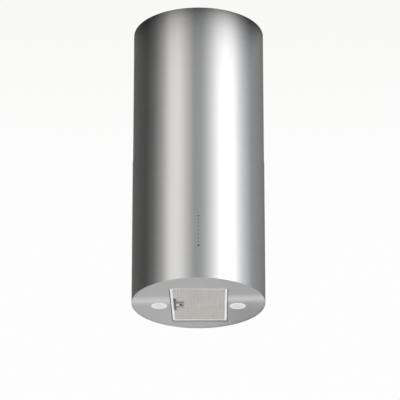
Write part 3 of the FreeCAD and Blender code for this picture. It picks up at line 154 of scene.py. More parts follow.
class Nodes:
    """A node tree that grows by one method."""

    def __init__(self, tree):
        self.tree = tree

    def add(self, kind, settings=None, inputs=None, output=0):
        """A node of a kind, its settings set first, then its inputs' values or links."""
        node = self.tree.nodes.new(f"ShaderNode{kind}")
        for name, value in (settings or {}).items():
            if name == "stops":
                self.set_stops(node.color_ramp, value)
            else:
                setattr(node, name, value)
        for key, value in (inputs or {}).items():
            self.feed(node.inputs[key], value)
        return Signal(self, node.outputs[output])

    def math(self, operation, *values):
        return self.add("Math", {"operation": operation}, dict(enumerate(values)))

    def feed(self, socket, value):
        if isinstance(value, Signal):
            self.tree.links.new(value.socket, socket)
        else:
            socket.default_value = value

    @staticmethod
    def set_stops(ramp, stops):
        while len(ramp.elements) < len(stops):
            ramp.elements.new(1.0)
        for element, (position, colour) in zip(ramp.elements, stops):
            element.position = position
            element.color = (*colour, 1.0)

    def mix(self, factor, first, second):
        """Blend of two colours."""
        return self.add("Mix", {"data_type": "RGBA", "clamp_factor": True},
                        {0: factor, 6: first, 7: second}, output=2)

    def axes(self, vector):
        return [self.add("SeparateXYZ", None, {0: vector}, output=axis) for axis in range(3)]

    def bearing(self, x, y, levels):
        """A colour by the bearing from the front; levels are (degrees, colour) from -180 to 180."""
        share = x.math("ARCTAN2", -y) / (2 * math.pi) + 0.5
        stops = [((degrees + 180) / 360, colour) for degrees, colour in levels]
        return self.add("ValToRGB", {"stops": stops}, {0: share})


class Finish(Nodes):
    """A material around one Principled shader, in the object's own metres."""

    def __init__(self, name, **constants):
        self.material = bpy.data.materials.new(name)
        self.material.use_nodes = True
        super().__init__(self.material.node_tree)
        self.shader = self.tree.nodes["Principled BSDF"]
        for socket, value in constants.items():
            self.set(socket.replace("_", " "), value)
        self.spot = self.add("TexCoord", output=3)
        self.x, self.y, self.z = self.axes(self.spot)

    def set(self, socket, value):
        if isinstance(value, tuple) and len(value) == 3:
            value = (*value, 1.0)
        self.feed(self.shader.inputs[socket], value)

    def scaled(self, x, y, z):
        """The place, stretched along each axis, as a vector."""
        return self.add("VectorMath", {"operation": "MULTIPLY"}, {0: self.spot, 1: (x, y, z)})

    def noise(self, spot, scale=1.0, detail=2.0, roughness=0.5):
        return self.add("TexNoise", None, {"Vector": spot, "Scale": scale, "Detail": detail,
                                           "Roughness": roughness})

    def cells(self, scale, feature="F1", output=0):
        return self.add("TexVoronoi", {"feature": feature}, {"Vector": self.spot, "Scale": scale},
                        output=output)

    def tint(self, factor, dark, light):
        """Colour between two named colours."""
        return self.mix(factor, (*dark, 1.0), (*light, 1.0))

    def relief(self, height, depth):
        """Surface relief of a depth in metres."""
        self.set("Normal", self.add("Bump", None, {"Strength": 1.0, "Distance": depth,
                                                   "Height": height}))

    def seen_with(self, factor, clear_first):
        """Let the shader show through by a factor, beside a clear one."""
        shaders = [Signal(self, self.shader.outputs[0]), self.add("BsdfTransparent")]
        if clear_first:
            shaders.reverse()
        both = self.add("MixShader", None, {0: factor, 1: shaders[0], 2: shaders[1]})
        self.feed(self.tree.nodes["Material Output"].inputs["Surface"], both)


# ---------------------------------------------------------------- finishes

def grey(level, warmth=0.0):
    return (level * (1 + warmth), level, level * (1 - warmth))


def cover_steel():
    """Stainless sheet brushed round the tube, with faint bands along the sheet's grain."""
    steel = Finish("cover_steel", Metallic=1.0, Anisotropic=0.55, Anisotropic_Rotation=0.25)
    around = steel.x.math("ARCTAN2", -steel.y) * cover_r
    fine = steel.noise(steel.add("CombineXYZ", None, {0: around * 18.0, 1: steel.z * 2600.0}),
                       detail=3.0, roughness=0.6)
    broad = steel.noise(steel.add("CombineXYZ", None, {0: around * 2.5, 1: steel.z * 160.0}))
    cloud = steel.noise(steel.spot, scale=6.0, detail=1.0)
    grain = fine * 0.6 + broad * 0.4
    steel.set("Base Color", steel.tint(grain, grey(0.66, 0.004), grey(0.80, 0.002)))
    steel.set("Roughness", grain * 0.10 + cloud * 0.05 + 0.13)
    steel.relief(fine * 0.8 + broad * 0.2, 0.006 * MM)
    return steel.material


# Painted highlight: a lighter band in the plate's colour stands in for a reflection; its centre line, half width
# and lean.
HIGHLIGHT_BAND_Y = -24.0 * MM
HIGHLIGHT_BAND_HALF = 42.0 * MM
HIGHLIGHT_BAND_LEAN = -0.06
# Painted shade: the corners of a darker patch at the plate's right rear.
PAINTED_SHADE_FROM, PAINTED_SHADE_TO = Vector((0.0, -20.0 * MM)), Vector((150.0 * MM, 70.0 * MM))


def plate_steel():
    """Stainless sheet brushed from left to right, with a painted highlight in a band across it and painted shade
    at the right rear.
    """
    steel = Finish("plate_steel", Metallic=1.0)
    fine = steel.noise(steel.scaled(16.0, 2400.0, 900.0), detail=3.0, roughness=0.6)
    broad = steel.noise(steel.scaled(3.0, 220.0, 90.0))
    grain = fine * 0.55 + broad * 0.45
    # Painted highlight: the colour is lightened to a pale grey in a band along this line.
    highlight_offset = steel.y - steel.x * HIGHLIGHT_BAND_LEAN - HIGHLIGHT_BAND_Y
    painted_highlight = highlight_offset.math("ABSOLUTE").ramp(0.0, HIGHLIGHT_BAND_HALF, 1.0, 0.0)
    brushed_and_shade = steel.tint(grain, grey(0.395), grey(0.515))
    # Painted shade: the right rear of the plate is darkened towards a dark grey, over the brushed tone.
    painted_shade = steel.x.ramp(PAINTED_SHADE_FROM.x, PAINTED_SHADE_TO.x) * steel.y.ramp(PAINTED_SHADE_FROM.y, PAINTED_SHADE_TO.y, 0.16, 0.62)
    brushed_and_shade = steel.mix(painted_shade, brushed_and_shade, (0.22, 0.22, 0.222, 1.0))
    steel.set("Base Color", steel.mix(painted_highlight * 0.55, brushed_and_shade, (0.82, 0.82, 0.815, 1.0)))
    steel.set("Roughness", grain * 0.12 + 0.27)
    steel.relief(fine, 0.008 * MM)
    return steel.material


def galvanised():
    """Zinc-coated sheet with its crystal spangle."""
    zinc = Finish("galvanised", Metallic=0.9)
    flakes = zinc.add("SeparateColor", None, {0: zinc.cells(150.0, output=1)})
    edges = zinc.cells(150.0, "DISTANCE_TO_EDGE").ramp(0.0, 0.12)
    dust = zinc.noise(zinc.spot, scale=900.0, detail=3.0)
    tone = flakes * 0.65 + dust * 0.25 + edges * 0.1
    zinc.set("Base Color", zinc.tint(tone, (0.46, 0.48, 0.50), (0.72, 0.74, 0.76)))
    zinc.set("Roughness", flakes * 0.22 + dust * 0.1 + 0.28)
    zinc.relief(flakes * 0.5 + edges * 0.5, 0.02 * MM)
    return zinc.material


def zinc_fastener():
    """Bright zinc plating with fine turning marks."""
    zinc = Finish("zinc_fastener", Metallic=1.0)
    marks = zinc.noise(zinc.scaled(700.0, 700.0, 5200.0))
    stain = zinc.noise(zinc.spot, scale=320.0)
    zinc.set("Base Color", zinc.tint(stain, (0.58, 0.58, 0.56), (0.82, 0.82, 0.80)))
    zinc.set("Roughness", marks * 0.16 + 0.2)
    zinc.relief(marks, 0.01 * MM)
    return zinc.material


def spring_steel():
    """Bright rolled leaf steel."""
    leaf = Finish("spring_steel", Metallic=1.0)
    marks = leaf.noise(leaf.scaled(260.0, 2600.0, 2600.0))
    leaf.set("Base Color", leaf.tint(marks, grey(0.48), grey(0.66)))
    leaf.set("Roughness", marks * 0.15 + 0.18)
    leaf.relief(marks, 0.005 * MM)
    return leaf.material


def moulded(name, dark, light, roughness, grain_scale=2400.0, grain_depth=0.02, coat=0.0):
    """Injection-moulded plastic with a fine eroded grain."""
    plastic = Finish(name, Coat_Weight=coat)
    grain = plastic.noise(plastic.spot, scale=grain_scale)
    flow = plastic.noise(plastic.spot, scale=45.0)
    plastic.set("Base Color", plastic.tint(flow * 0.7 + grain * 0.3, dark, light))
    plastic.set("Roughness", grain * 0.14 + flow * 0.08 + roughness)
    plastic.relief(grain, grain_depth * MM)
    return plastic.material


def rubber():
    return moulded("rubber", grey(0.025), grey(0.055), 0.62, 1800.0, 0.03)


def wheel_plastic():
    return moulded("wheel_plastic", grey(0.04), grey(0.085), 0.38)


def black_plastic():
    return moulded("black_plastic", grey(0.045), grey(0.09), 0.36)


def grey_plastic():
    return moulded("grey_plastic", (0.42, 0.43, 0.44), (0.56, 0.57, 0.58), 0.36)


def capacitor_white():
    return moulded("capacitor_white", (0.68, 0.68, 0.65), (0.80, 0.80, 0.78), 0.26, 1500.0, 0.01, 0.3)


def touch_grey():
    return moulded("touch_grey", grey(0.055), grey(0.10), 0.18, 3000.0, 0.004, 0.6)


def lamp_white():
    return moulded("lamp_white", (0.90, 0.895, 0.885), (0.98, 0.975, 0.97), 0.26, 2600.0, 0.006, 0.4)


def latch_grey():
    """Dark grey moulding; its stem is a lighter shade than its bar."""
    moulding = Finish("latch_grey")
    grain = moulding.noise(moulding.spot, scale=2200.0)
    flow = moulding.noise(moulding.spot, scale=45.0)
    tone = flow * 0.7 + grain * 0.3
    lean = FILTER_SLANT / (filter_high.y - filter_low.y)
    from_edge = moulding.x - (moulding.y - filter_low.y) * lean + filter_x
    bar = FILTER_SIDE + LATCH_BAR
    stem = from_edge.ramp(bar, bar + 0.5 * MM)
    bar_shade = moulding.tint(tone, grey(0.10, 0.01), grey(0.15, 0.01))
    stem_shade = moulding.tint(tone, grey(0.27, 0.01), grey(0.36, 0.01))
    moulding.set("Base Color", moulding.mix(stem, bar_shade, stem_shade))
    moulding.set("Roughness", grain * 0.14 + flow * 0.08 + 0.40)
    moulding.relief(grain, 0.02 * MM)
    return moulding.material


def latch_button():
    return moulded("latch_button", grey(0.68), grey(0.84), 0.30, 2200.0, 0.01, 0.2)


def motor_paint():
    """Satin stove enamel over a slightly uneven can."""
    paint = Finish("motor_paint", Coat_Weight=0.35)
    peel = paint.noise(paint.spot, scale=420.0)
    dust = paint.noise(paint.spot, scale=60.0, detail=3.0)
    paint.set("Base Color", paint.tint(dust, grey(0.06), grey(0.12)))
    paint.set("Roughness", peel * 0.1 + dust * 0.12 + 0.26)
    paint.relief(peel, 0.05 * MM)
    return paint.material


def circuit_board():
    """Green solder mask over raised copper tracks."""
    board = Finish("circuit_board", Coat_Weight=0.3)
    tracks = board.add("TexBrick", {"offset": 0.5}, {
        "Vector": board.add("CombineXYZ", None, {0: board.y * 60.0, 1: board.z * 60.0}),
        "Scale": 5.0, "Mortar Size": 0.05, "Mortar Smooth": 0.2,
        "Color1": (0.0, 0.0, 0.0, 1.0), "Color2": (0.0, 0.0, 0.0, 1.0),
        "Mortar": (1.0, 1.0, 1.0, 1.0)}, output=1)
    dust = board.noise(board.spot, scale=700.0)
    board.set("Base Color", board.tint(tracks * 0.7 + dust * 0.3,
                                       (0.02, 0.13, 0.05), (0.08, 0.30, 0.12)))
    board.set("Roughness", dust * 0.1 + 0.3)
    board.relief(tracks, 0.05 * MM)
    return board.material


def frosted_glass():
    """Lens frosted on its inner face, brighter towards its rim."""
    glass = Finish("frosted_glass", Coat_Weight=0.7, Coat_Roughness=0.12)
    across = glass.x.math("ABSOLUTE") - lamp_x
    out = glass.y - lamp_y
    reach = (across * across + out * out) ** 0.5
    frost = glass.noise(glass.spot, scale=1800.0)
    rim = (reach / lamp_ring_r).ramp(0.45, 0.85)
    glass.set("Base Color", glass.tint(rim * 0.8 + frost * 0.2,
                                       (0.76, 0.735, 0.73), (0.95, 0.945, 0.94)))
    glass.set("Roughness", frost * 0.15 + 0.3)
    glass.relief(frost, 0.02 * MM)
    return glass.material


def reflector():
    """Spun aluminium with fine rings."""
    cup = Finish("reflector", Metallic=1.0)
    rings = cup.noise(cup.scaled(200.0, 200.0, 3600.0))
    cup.set("Base Color", cup.tint(rings, grey(0.70), grey(0.88)))
    cup.set("Roughness", rings * 0.14 + 0.14)
    cup.relief(rings, 0.01 * MM)
    return cup.material


def filter_aluminium():
    """Bright anodised aluminium section with drawing lines along it."""
    section = Finish("filter_aluminium", Metallic=0.2)
    lines = section.noise(section.scaled(380.0, 380.0, 3000.0), detail=3.0)
    haze = section.noise(section.spot, scale=35.0)
    section.set("Base Color", section.tint(lines * 0.5 + haze * 0.5,
                                           (0.92, 0.92, 0.905), (0.99, 0.99, 0.985)))
    section.set("Roughness", lines * 0.15 + 0.32)
    section.relief(lines, 0.01 * MM)
    return section.material


def filter_mesh():
    """Slit and stretched aluminium foil, slightly warm, with bright shear edges."""
    foil = Finish("filter_mesh", Metallic=0.35)
    shear = foil.noise(foil.scaled(900.0, 1600.0, 1600.0))
    haze = foil.noise(foil.spot, scale=18.0)
    foil.set("Base Color", foil.tint(shear * 0.5 + haze * 0.5,
                                     (0.70, 0.67, 0.64), (0.84, 0.81, 0.785)))
    foil.set("Roughness", shear * 0.2 + 0.34)
    foil.relief(shear, 0.03 * MM)
    return foil.material


FINISHES = {make.__name__: make() for make in (
    cover_steel, plate_steel, galvanised, zinc_fastener, rubber, motor_paint, wheel_plastic,
    black_plastic, grey_plastic, circuit_board, capacitor_white, touch_grey, lamp_white,
    frosted_glass, reflector, filter_aluminium, filter_mesh, latch_grey, latch_button,
    spring_steel)}


def finish_nodes():
    """Give every CAD node the finish of its slot."""
    for name, node in NODES.items():
        if node.material_slots:
            for place in node.material_slots:
                place.material = FINISHES[SLOTS[name]]
        else:
            node.data.materials.append(FINISHES[SLOTS[name]])


# ---------------------------------------------------------------- mesh tools

def eased(corners, ease, steps=4, hold=0.0):
    """Round every corner of a closed flat outline; hold adds a point beyond each curve."""
    points = []
    spots = [Vector(corner) for corner in corners]
    for before, corner, after in zip(spots[-1:] + spots[:-1], spots, spots[1:] + spots[:1]):
        back, ahead = (before - corner), (after - corner)
        reach = min(ease, back.length * 0.4, ahead.length * 0.4)
        before_hold = min(hold, 0.45 * back.length - reach)
        after_hold = min(hold, 0.45 * ahead.length - reach)
        back.normalize()
        ahead.normalize()
        if hold:
            points.append(corner + back * (reach + before_hold))
        for step in range(steps + 1):
            share = step / steps
            points.append(corner + back * reach * (1 - share) ** 2 + ahead * reach * share ** 2)
        if hold:
            points.append(corner + ahead * (reach + after_hold))
    return points


def loft(shape, rings, loop=False, caps=False):
    """Skin equal closed rings of points in order; loop joins the last ring to the first."""
    rows = [[shape.verts.new(point) for point in ring] for ring in rings]
    pairs = list(zip(rows, rows[1:])) + ([(rows[-1], rows[0])] if loop else [])
    for row, following in pairs:
        for here, there in zip(range(len(row)), list(range(1, len(row))) + [0]):
            shape.faces.new((row[here], row[there], following[there], following[here]))
    if caps:
        shape.faces.new(rows[0])
        shape.faces.new(rows[-1])
    return rows


def lathe(shape, outline, centre):
    """Turn a closed (radius, height) outline about an upright axis."""
    turns = [2 * math.pi * step / RING_STEPS for step in range(RING_STEPS)]
    return loft(shape, [[(centre[0] + r * math.cos(turn), centre[1] + r * math.sin(turn), z)
                         for r, z in outline] for turn in turns], loop=True)


def block(shape, low, high):
    """A plain box between two corners, for cutting and for hidden stops."""
    corners = ((low[0], low[1]), (high[0], low[1]), (high[0], high[1]), (low[0], high[1]))
    loft(shape, [[(*corner, z) for corner in corners] for z in (low[2], high[2])], caps=True)


def settle(name, shape, outward=True):
    """Object from a bmesh, with its faces turned outward."""
    if outward:
        bmesh.ops.recalc_face_normals(shape, faces=shape.faces)
    mesh = bpy.data.meshes.new(name)
    shape.to_mesh(mesh)
    shape.free()
    thing = bpy.data.objects.new(name, mesh)
    bpy.context.scene.collection.objects.link(thing)
    return thing


def modified(thing, kind, **settings):
    """Apply one modifier, given as its kind and settings."""
    modifier = thing.modifiers.new(kind.lower(), kind)
    for name, value in settings.items():
        setattr(modifier, name, value)
    depsgraph = bpy.context.evaluated_depsgraph_get()
    mesh = bpy.data.meshes.new_from_object(thing.evaluated_get(depsgraph))
    thing.modifiers.clear()
    thing.data = mesh
    return thing


def cut_away(thing, cutter):
    """Cut a closed shape out of a piece."""
    tool = settle("cutter", cutter)
    modified(thing, "BOOLEAN", operation="DIFFERENCE", solver="EXACT", object=tool)
    bpy.data.objects.remove(tool)
    return thing


def softened(thing, width):
    """Bevel a piece's crisp edges."""
    return modified(thing, "BEVEL", width=width, segments=2, limit_method="ANGLE",
                    angle_limit=math.radians(40))


def finished(thing, body, slot, *stands_for, crisp=35.0):
    """Smooth a piece, give it its finish and put it on its body."""
    for face in thing.data.polygons:
        face.use_smooth = True
    thing.data.set_sharp_from_angle(angle=math.radians(crisp))
    thing.data.materials.clear()
    thing.data.materials.append(FINISHES[slot])
    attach(thing, body)
    if stands_for:
        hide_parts(*stands_for)
    return thing


# ---------------------------------------------------------------- tubes

def seam_turns(*specials):
    """Angles about the tube, with extra ones close to chosen places."""
    turns = {round(2 * math.pi * step / TUBE_STEPS, 6) for step in range(TUBE_STEPS)}
    for middle, offsets in specials:
        turns = {turn for turn in turns if abs(turn - middle) > 1.3 * max(offsets)}
        turns |= {round(middle + side * offset, 6) for offset in offsets for side in (-1, 1)}
    return sorted(turns)


SEAM_AT = math.pi / 2
SEAM_HALF = 0.35 * MM
SEAM_DEPTH = 0.12 * MM
SEAM_SHARES = (0.25, 0.6, 1.0, 2.2)
RIM_EASE, RIM_HOLD = 0.22 * MM, 1.0 * MM
TUBE_STEPS = 240
SLOT_R = 2.4 * MM
SLOT_SHARES = (0.35, 0.7, 0.9, 1.0, 1.04)


def tube(name, radius, low, high, specials=(), top_at=None):
    """Rolled sheet tube with eased rims and a planished weld seam at the rear."""
    seam = (SEAM_AT, [share * SEAM_HALF / radius for share in SEAM_SHARES])
    rings = []
    for turn in seam_turns(seam, *specials):
        off = abs(turn - SEAM_AT) * radius / SEAM_HALF
        dip = SEAM_DEPTH * max(0.0, 1 - off)
        top = top_at(turn) if top_at else high
        corners = [(radius - COVER_SHEET, low), (radius - dip, low),
                   (radius - dip, top), (radius - COVER_SHEET, top)]
        rings.append([(r * math.cos(turn), r * math.sin(turn), z)
                      for r, z in eased(corners, RIM_EASE, 3, RIM_HOLD)])
    shape = bmesh.new()
    loft(shape, rings, loop=True)
    return settle(name, shape)


def upper_tube():
    """Upper tube, with a slot for a hanger screw that is open at the left side."""
    screw_low, screw_high = node_box("cover_hanger_screws")
    screw_z = (screw_low.z + screw_high.z) / 2

    def top_at(turn):
        off = min(abs(turn), abs(turn - math.pi), abs(turn - 2 * math.pi)) * upper_r
        if off > SLOT_R * 1.01:
            return upper_high.z
        return screw_z - math.sqrt(max(0.0, SLOT_R ** 2 - off ** 2))

    offsets = [share * SLOT_R / upper_r for share in SLOT_SHARES]
    # 0 and 2 pi are one place, so its turns come twice and the right side gets three layers, which
    # lie over each other and close its slot. Leaving out 2 pi and wrapping the turns would mend it.
    sides = [(middle, offsets) for middle in (0.0, math.pi, 2 * math.pi)]
    shell = tube("upper_tube_shell", upper_r, upper_low.z, upper_high.z, sides, top_at)
    return finished(shell, "upper_tube", "cover_steel", "upper_cover", crisp=25.0)


def lower_tube():
    """Lower tube that carries the touch marks."""
    shell = tube("lower_tube_shell", cover_r, cover_low.z, cover_high.z)
    return finished(shell, "hood", "cover_steel", "lower_cover", crisp=25.0)


# ---------------------------------------------------------------- underside plate

def round_loop(centre_x, centre_y, radius, z, steps):
    return [(centre_x + radius * math.cos(2 * math.pi * step / steps),
             centre_y + radius * math.sin(2 * math.pi * step / steps), z) for step in range(steps)]


def opening_loop(grow, z):
    """The filter opening's outline, grown outward."""
    right, aside = filter_x + FILTER_GAP + grow, FILTER_GAP + grow
    front, back = filter_low.y - aside, filter_high.y + FILTER_BACK_GAP + grow
    corners = [(filter_left(front) - aside, front), (right, front), (right, back),
               (filter_left(back) - aside, back)]
    return [(x, y, z) for x, y in eased(corners, OPENING_CORNER + grow, 6)]


RIVET_FRONT, RIVET_MIDDLE, RIVET_BACK = 25.0 * MM, 46.0 * MM, 30.0 * MM


def rivet_places():
    """Places of the rivets along the opening's right flange."""
    low, high = node_box("base_rivets")
    z = (low.z + high.z) / 2
    middle = (filter_low.y + filter_high.y) / 2
    for y in (filter_low.y + RIVET_FRONT, middle - RIVET_MIDDLE, filter_high.y - RIVET_BACK):
        yield y, z


def hinge_place():
    places = {joint["name"]: joint.get("pos_m") for joint in frame["joints"]}
    return Vector(places["filter_hinge"])


def rod(shape, start, end, radius):
    """A closed round bar between two points."""
    steps = 24
    start, end = Vector(start), Vector(end)
    turn = (end - start).to_track_quat("Z", "Y")
    rings = [[point + turn @ Vector((radius * math.cos(2 * math.pi * step / steps),
                                     radius * math.sin(2 * math.pi * step / steps), 0.0))
              for step in range(steps)] for point in (start, end)]
    loft(shape, rings, caps=True)


# Distance inward and drop below the plate along the rolled lip at its edge.
LIP = [(inward * MM, drop * MM) for inward, drop in (
    (5.5, 0.0), (4.6, 0.04), (3.2, 0.36), (1.9, 0.86), (1.0, 1.18), (0.5, 1.26), (0.15, 1.18),
    (0.0, 0.9), (0.0, 0.3))]


def underside_plate():
    """Pressed plate with a rolled lip, an upturned flange round the filter and two lamp holes."""
    shape = bmesh.new()
    bends = [math.radians(15 * step) for step in range(7)]
    hold = 1.2 * MM
    rim = [round_loop(0, 0, plate_r - inward, plate_z - drop, 200) for inward, drop in LIP]
    flange = [opening_loop(PLATE_BEND + hold, plate_z)]
    for bend in bends:
        rise = plate_z + PLATE_BEND * (1 - math.cos(bend))
        flange.append(opening_loop(PLATE_BEND * (1 - math.sin(bend)), rise))
    rim.append(round_loop(0, 0, plate_r, plate_z + PLATE_SHEET + PLATE_RIM, 200))
    flange.append(opening_loop(0.0, plate_z + PLATE_SHEET + FLANGE))
    lamps = [round_loop(side * lamp_x, lamp_y, lamp_ring_r - LAMP_HOLE_INSET, plate_z, 64)
             for side in (-1, 1)]
    edges = []
    for rows in (loft(shape, rim), loft(shape, flange)):
        edges += [shape.edges.get((a, b)) for a, b in zip(rows[0], rows[0][1:] + rows[0][:1])]
    for ring in lamps:
        row = [shape.verts.new(point) for point in ring]
        edges += [shape.edges.new((a, b)) for a, b in zip(row, row[1:] + row[:1])]
    flat = bmesh.ops.triangle_fill(shape, use_beauty=True, edges=edges)["geom"]
    bmesh.ops.recalc_face_normals(shape, faces=shape.faces)
    face = [item for item in flat if isinstance(item, bmesh.types.BMFace)][0]
    face.normal_update()
    if face.normal.z > 0:
        bmesh.ops.reverse_faces(shape, faces=shape.faces)
    plate = settle("underside_plate", shape, outward=False)
    modified(plate, "SOLIDIFY", thickness=PLATE_SHEET, offset=-1.0, use_even_offset=True)
    holes = bmesh.new()
    hinge = hinge_place()
    left, right = filter_left(latch_y) - FILTER_GAP, filter_x + FILTER_GAP
    half = (slider_high.y - slider_low.y) / 2 + 0.5 * MM
    slot_low, slot_high = filter_low.z + 1.2 * MM, filter_low.z + 4.2 * MM
    block(holes, (left - 2.2 * MM, latch_y - half, slot_low),
          (left + 0.8 * MM, latch_y + half, slot_high))
    for y, z in rivet_places():
        rod(holes, (right - 0.5 * MM, y, z), (right + 2 * MM, y, z), RIVET_HOLE_R)
    for y in (filter_low.y - FILTER_GAP, filter_high.y + FILTER_BACK_GAP):
        rod(holes, (hinge.x, y - 1.5 * MM, hinge.z), (hinge.x, y + 1.5 * MM, hinge.z),
            HINGE_HOLE_R)
    cut_away(plate, holes)
    return finished(plate, "hood", "plate_steel", "base_plate", crisp=30.0)


# ---------------------------------------------------------------- filter

def channel_profile(width):
    """(inward, up) outline of the frame's channel: bottom lip, outer wall and top lip."""
    tall = filter_high.z - filter_low.z
    wall = FILTER_SHEET
    return eased([(0, 0), (width, 0), (width, wall), (wall, wall),
                  (wall, tall - wall), (width, tall - wall), (width, tall), (0, tall)],
                 0.5 * MM, 3, 0.15 * MM)


def frame_corners(share):
    """Corners of the frame from its outer edge (0) to its inner edge (1), front left first."""
    front, back = filter_low.y + share * FILTER_END, filter_high.y - share * FILTER_END
    side = share * FILTER_SIDE
    return [Vector((filter_left(front) + side, front)), Vector((filter_x - side, front)),
            Vector((filter_x - side, back)), Vector((filter_left(back) + side, back))]


def frame_bar(shape, side):
    """One mitred bar of the filter's frame; side counts from the front one."""
    width = FILTER_SIDE if side % 2 else FILTER_END
    outer, inner = frame_corners(0.0), frame_corners(1.0)
    first, last = side, (side + 1) % 4
    joint_gap = (outer[last] - outer[first]).normalized() * 0.12 * MM
    rings = []
    for end, inset in ((first, joint_gap), (last, -joint_gap)):
        rings.append([(*(outer[end].lerp(inner[end], inward / width) + inset), filter_low.z + up)
                      for inward, up in channel_profile(width)])
    loft(shape, rings, caps=True)


def filter_rim():
    """Four channel bars mitred at the corners, holed for the tongue."""
    shape = bmesh.new()
    for side in range(4):
        frame_bar(shape, side)
    rim = settle("filter_rim", shape)
    hole = bmesh.new()
    half = (slider_high.y - slider_low.y) / 2 + 0.3 * MM
    left = filter_left(latch_y)
    block(hole, (left - 1.0 * MM, latch_y - half, slider_high.z - 2.3 * MM),
          (left + 2.0 * MM, latch_y + half, slider_high.z + 0.3 * MM))
    cut_away(rim, hole)
    return finished(rim, "filter", "filter_aluminium", "filter_frame", crisp=30.0)


LATCH_ROOM = 0.4 * MM
WEAVE_HALF = 17.0 * MM


def strand_runs(row_y, pitch_x, swing):
    """Zigzag points of one strand, split where the latch sits."""
    runs, run = [], []
    count = int((mesh_high.x - mesh_low.x) / (pitch_x / 2))
    for step in range(count + 1):
        x = mesh_low.x + step * pitch_x / 2
        y = row_y + (swing if step % 2 else -swing)
        at_latch = x < latch_high.x + LATCH_ROOM and abs(y - latch_y) < WEAVE_HALF
        past_left = x < filter_left(y) + FILTER_SIDE - MESH_SEAT
        if at_latch or past_left or not mesh_low.y <= y <= mesh_high.y:
            if len(run) > 1:
                runs.append(run)
            run = []
        else:
            run.append((x, y))
    if len(run) > 1:
        runs.append(run)
    return runs


def expanded_sheet(name, low, high, pitch_x, pitch_y, strand, *stands_for):
    """Slit and stretched sheet: rows of zigzag strands that meet at their knuckles."""
    shape = bmesh.new()
    half, top = strand / 2, high - (high - low) * 0.25
    for row in range(int((mesh_high.y - mesh_low.y) / pitch_y) + 1):
        row_y = mesh_low.y + (row + 0.5) * pitch_y
        for run in strand_runs(row_y, pitch_x, pitch_y / 2):
            rings = []
            for place, (x, y) in enumerate(run):
                tip = (high - low) * 0.25 if (place + row) % 2 else 0.0
                rings.append([(x, y - half, low + tip), (x, y + half, low),
                              (x, y + half, top), (x, y - half, top + tip)])
            loft(shape, rings, caps=True)
    return finished(settle(name, shape), "filter", "filter_mesh", *stands_for, crisp=20.0)


# Pitch along, pitch across and strand width of the fine and the coarse sheets, and their depths.
FINE, COARSE = (4.4 * MM, 2.5 * MM, 0.95 * MM), (9.0 * MM, 5.0 * MM, 1.3 * MM)
FINE_DEEP, BEHIND_FINE, BACK_DEEP = 0.45 * MM, 0.8 * MM, 0.8 * MM


def filter_sheets():
    """Fine sheet on the face, a coarser one behind it and the sheet on the back."""
    face, back = mesh_low.z, mesh_high.z
    expanded_sheet("filter_face_weave", face, face + FINE_DEEP, *FINE, "filter_mesh")
    expanded_sheet("filter_inner_weave", face + FINE_DEEP, face + BEHIND_FINE, *COARSE)
    expanded_sheet("filter_back_weave", back - BACK_DEEP, back, *COARSE)


def filter_pad():
    """Crimped foil pad between the sheets, cut away round the latch."""
    low, high = node_box("filter_core")
    crimp, pitch, steps = 0.45 * MM, 6.0 * MM, 52
    front_edge, back_edge = latch_y - STEM_HALF + MM, latch_y + STEM_HALF - MM
    rows = [low.y, front_edge - 0.2 * MM, front_edge, back_edge, back_edge + 0.2 * MM, high.y]

    def wave(x):
        return crimp * (0.5 + 0.5 * math.sin(2 * math.pi * x / pitch))

    shape = bmesh.new()
    rings = []
    for y in rows:
        left = filter_left(y) + FILTER_SIDE - MESH_SEAT
        if front_edge <= y <= back_edge:
            left = latch_high.x + LATCH_ROOM
        across = [left + (high.x - left) * step / steps for step in range(steps + 1)]
        under = [(x, y, low.z + wave(x)) for x in across]
        rings.append(under + [(x, y, high.z - wave(x)) for x in reversed(across)])
    loft(shape, rings, caps=True)
    return finished(settle("filter_pad", shape), "filter", "filter_mesh", "filter_core", crisp=40.0)


# ---------------------------------------------------------------- filter latch

def latch_plate():
    """T-shaped moulded face with softened edges and a window for the button."""
    left, right = latch_low.x, latch_high.x
    bar_half = (latch_high.y - latch_low.y) / 2
    button_left = left + BUTTON_INSET
    bar_ends = (-bar_half, -STEM_HALF, STEM_HALF, bar_half)
    bar = [filter_left(latch_y + y) + FILTER_SIDE + 0.1 * MM for y in bar_ends]
    outline = [(bar[0], bar_ends[0]), (bar[0] + LATCH_BAR, bar_ends[0]),
               (bar[1] + LATCH_BAR, bar_ends[1]), (right, -STEM_HALF), (right, STEM_HALF),
               (bar[2] + LATCH_BAR, bar_ends[2]), (bar[3] + LATCH_BAR, bar_ends[3]),
               (bar[3], bar_ends[3])]
    shape = bmesh.new()
    loft(shape, [[(x, latch_y + y, z) for x, y in eased(outline, 1.5 * MM, 3)]
                 for z in (latch_low.z, filter_low.z + FILTER_SHEET)], caps=True)
    face = settle("latch_face", shape)
    window = bmesh.new()
    room = 0.3 * MM
    half = BUTTON.y / 2 + room
    ends = (button_left - room, button_left + BUTTON.x + LATCH_TRAVEL + room)
    corners = [(ends[0], -half), (ends[1], -half), (ends[1], half), (ends[0], half)]
    loft(window, [[(x, latch_y + y, z) for x, y in eased(corners, 1.2 * MM, 3)]
                  for z in (latch_low.z - MM, filter_low.z + 2 * MM)], caps=True)
    cut_away(face, window)
    inset, line, deep = 1.2 * MM, 0.7 * MM, 0.8 * MM
    groove = bmesh.new()
    rings = []
    for grow, z in ((0.0, latch_low.z - MM), (line, latch_low.z - MM),
                    (line, latch_low.z + deep), (0.0, latch_low.z + deep)):
        ends = (bar[2] + LATCH_BAR + inset + grow, right - inset - grow)
        side = STEM_HALF - inset - grow
        corners = [(ends[0], -side), (ends[1], -side), (ends[1], side), (ends[0], side)]
        rings.append([(x, latch_y + y, z) for x, y in corners])
    loft(groove, rings, loop=True)
    cut_away(face, groove)
    softened(face, 0.3 * MM)
    return finished(face, "filter", "latch_grey", "latch_housing", crisp=30.0)


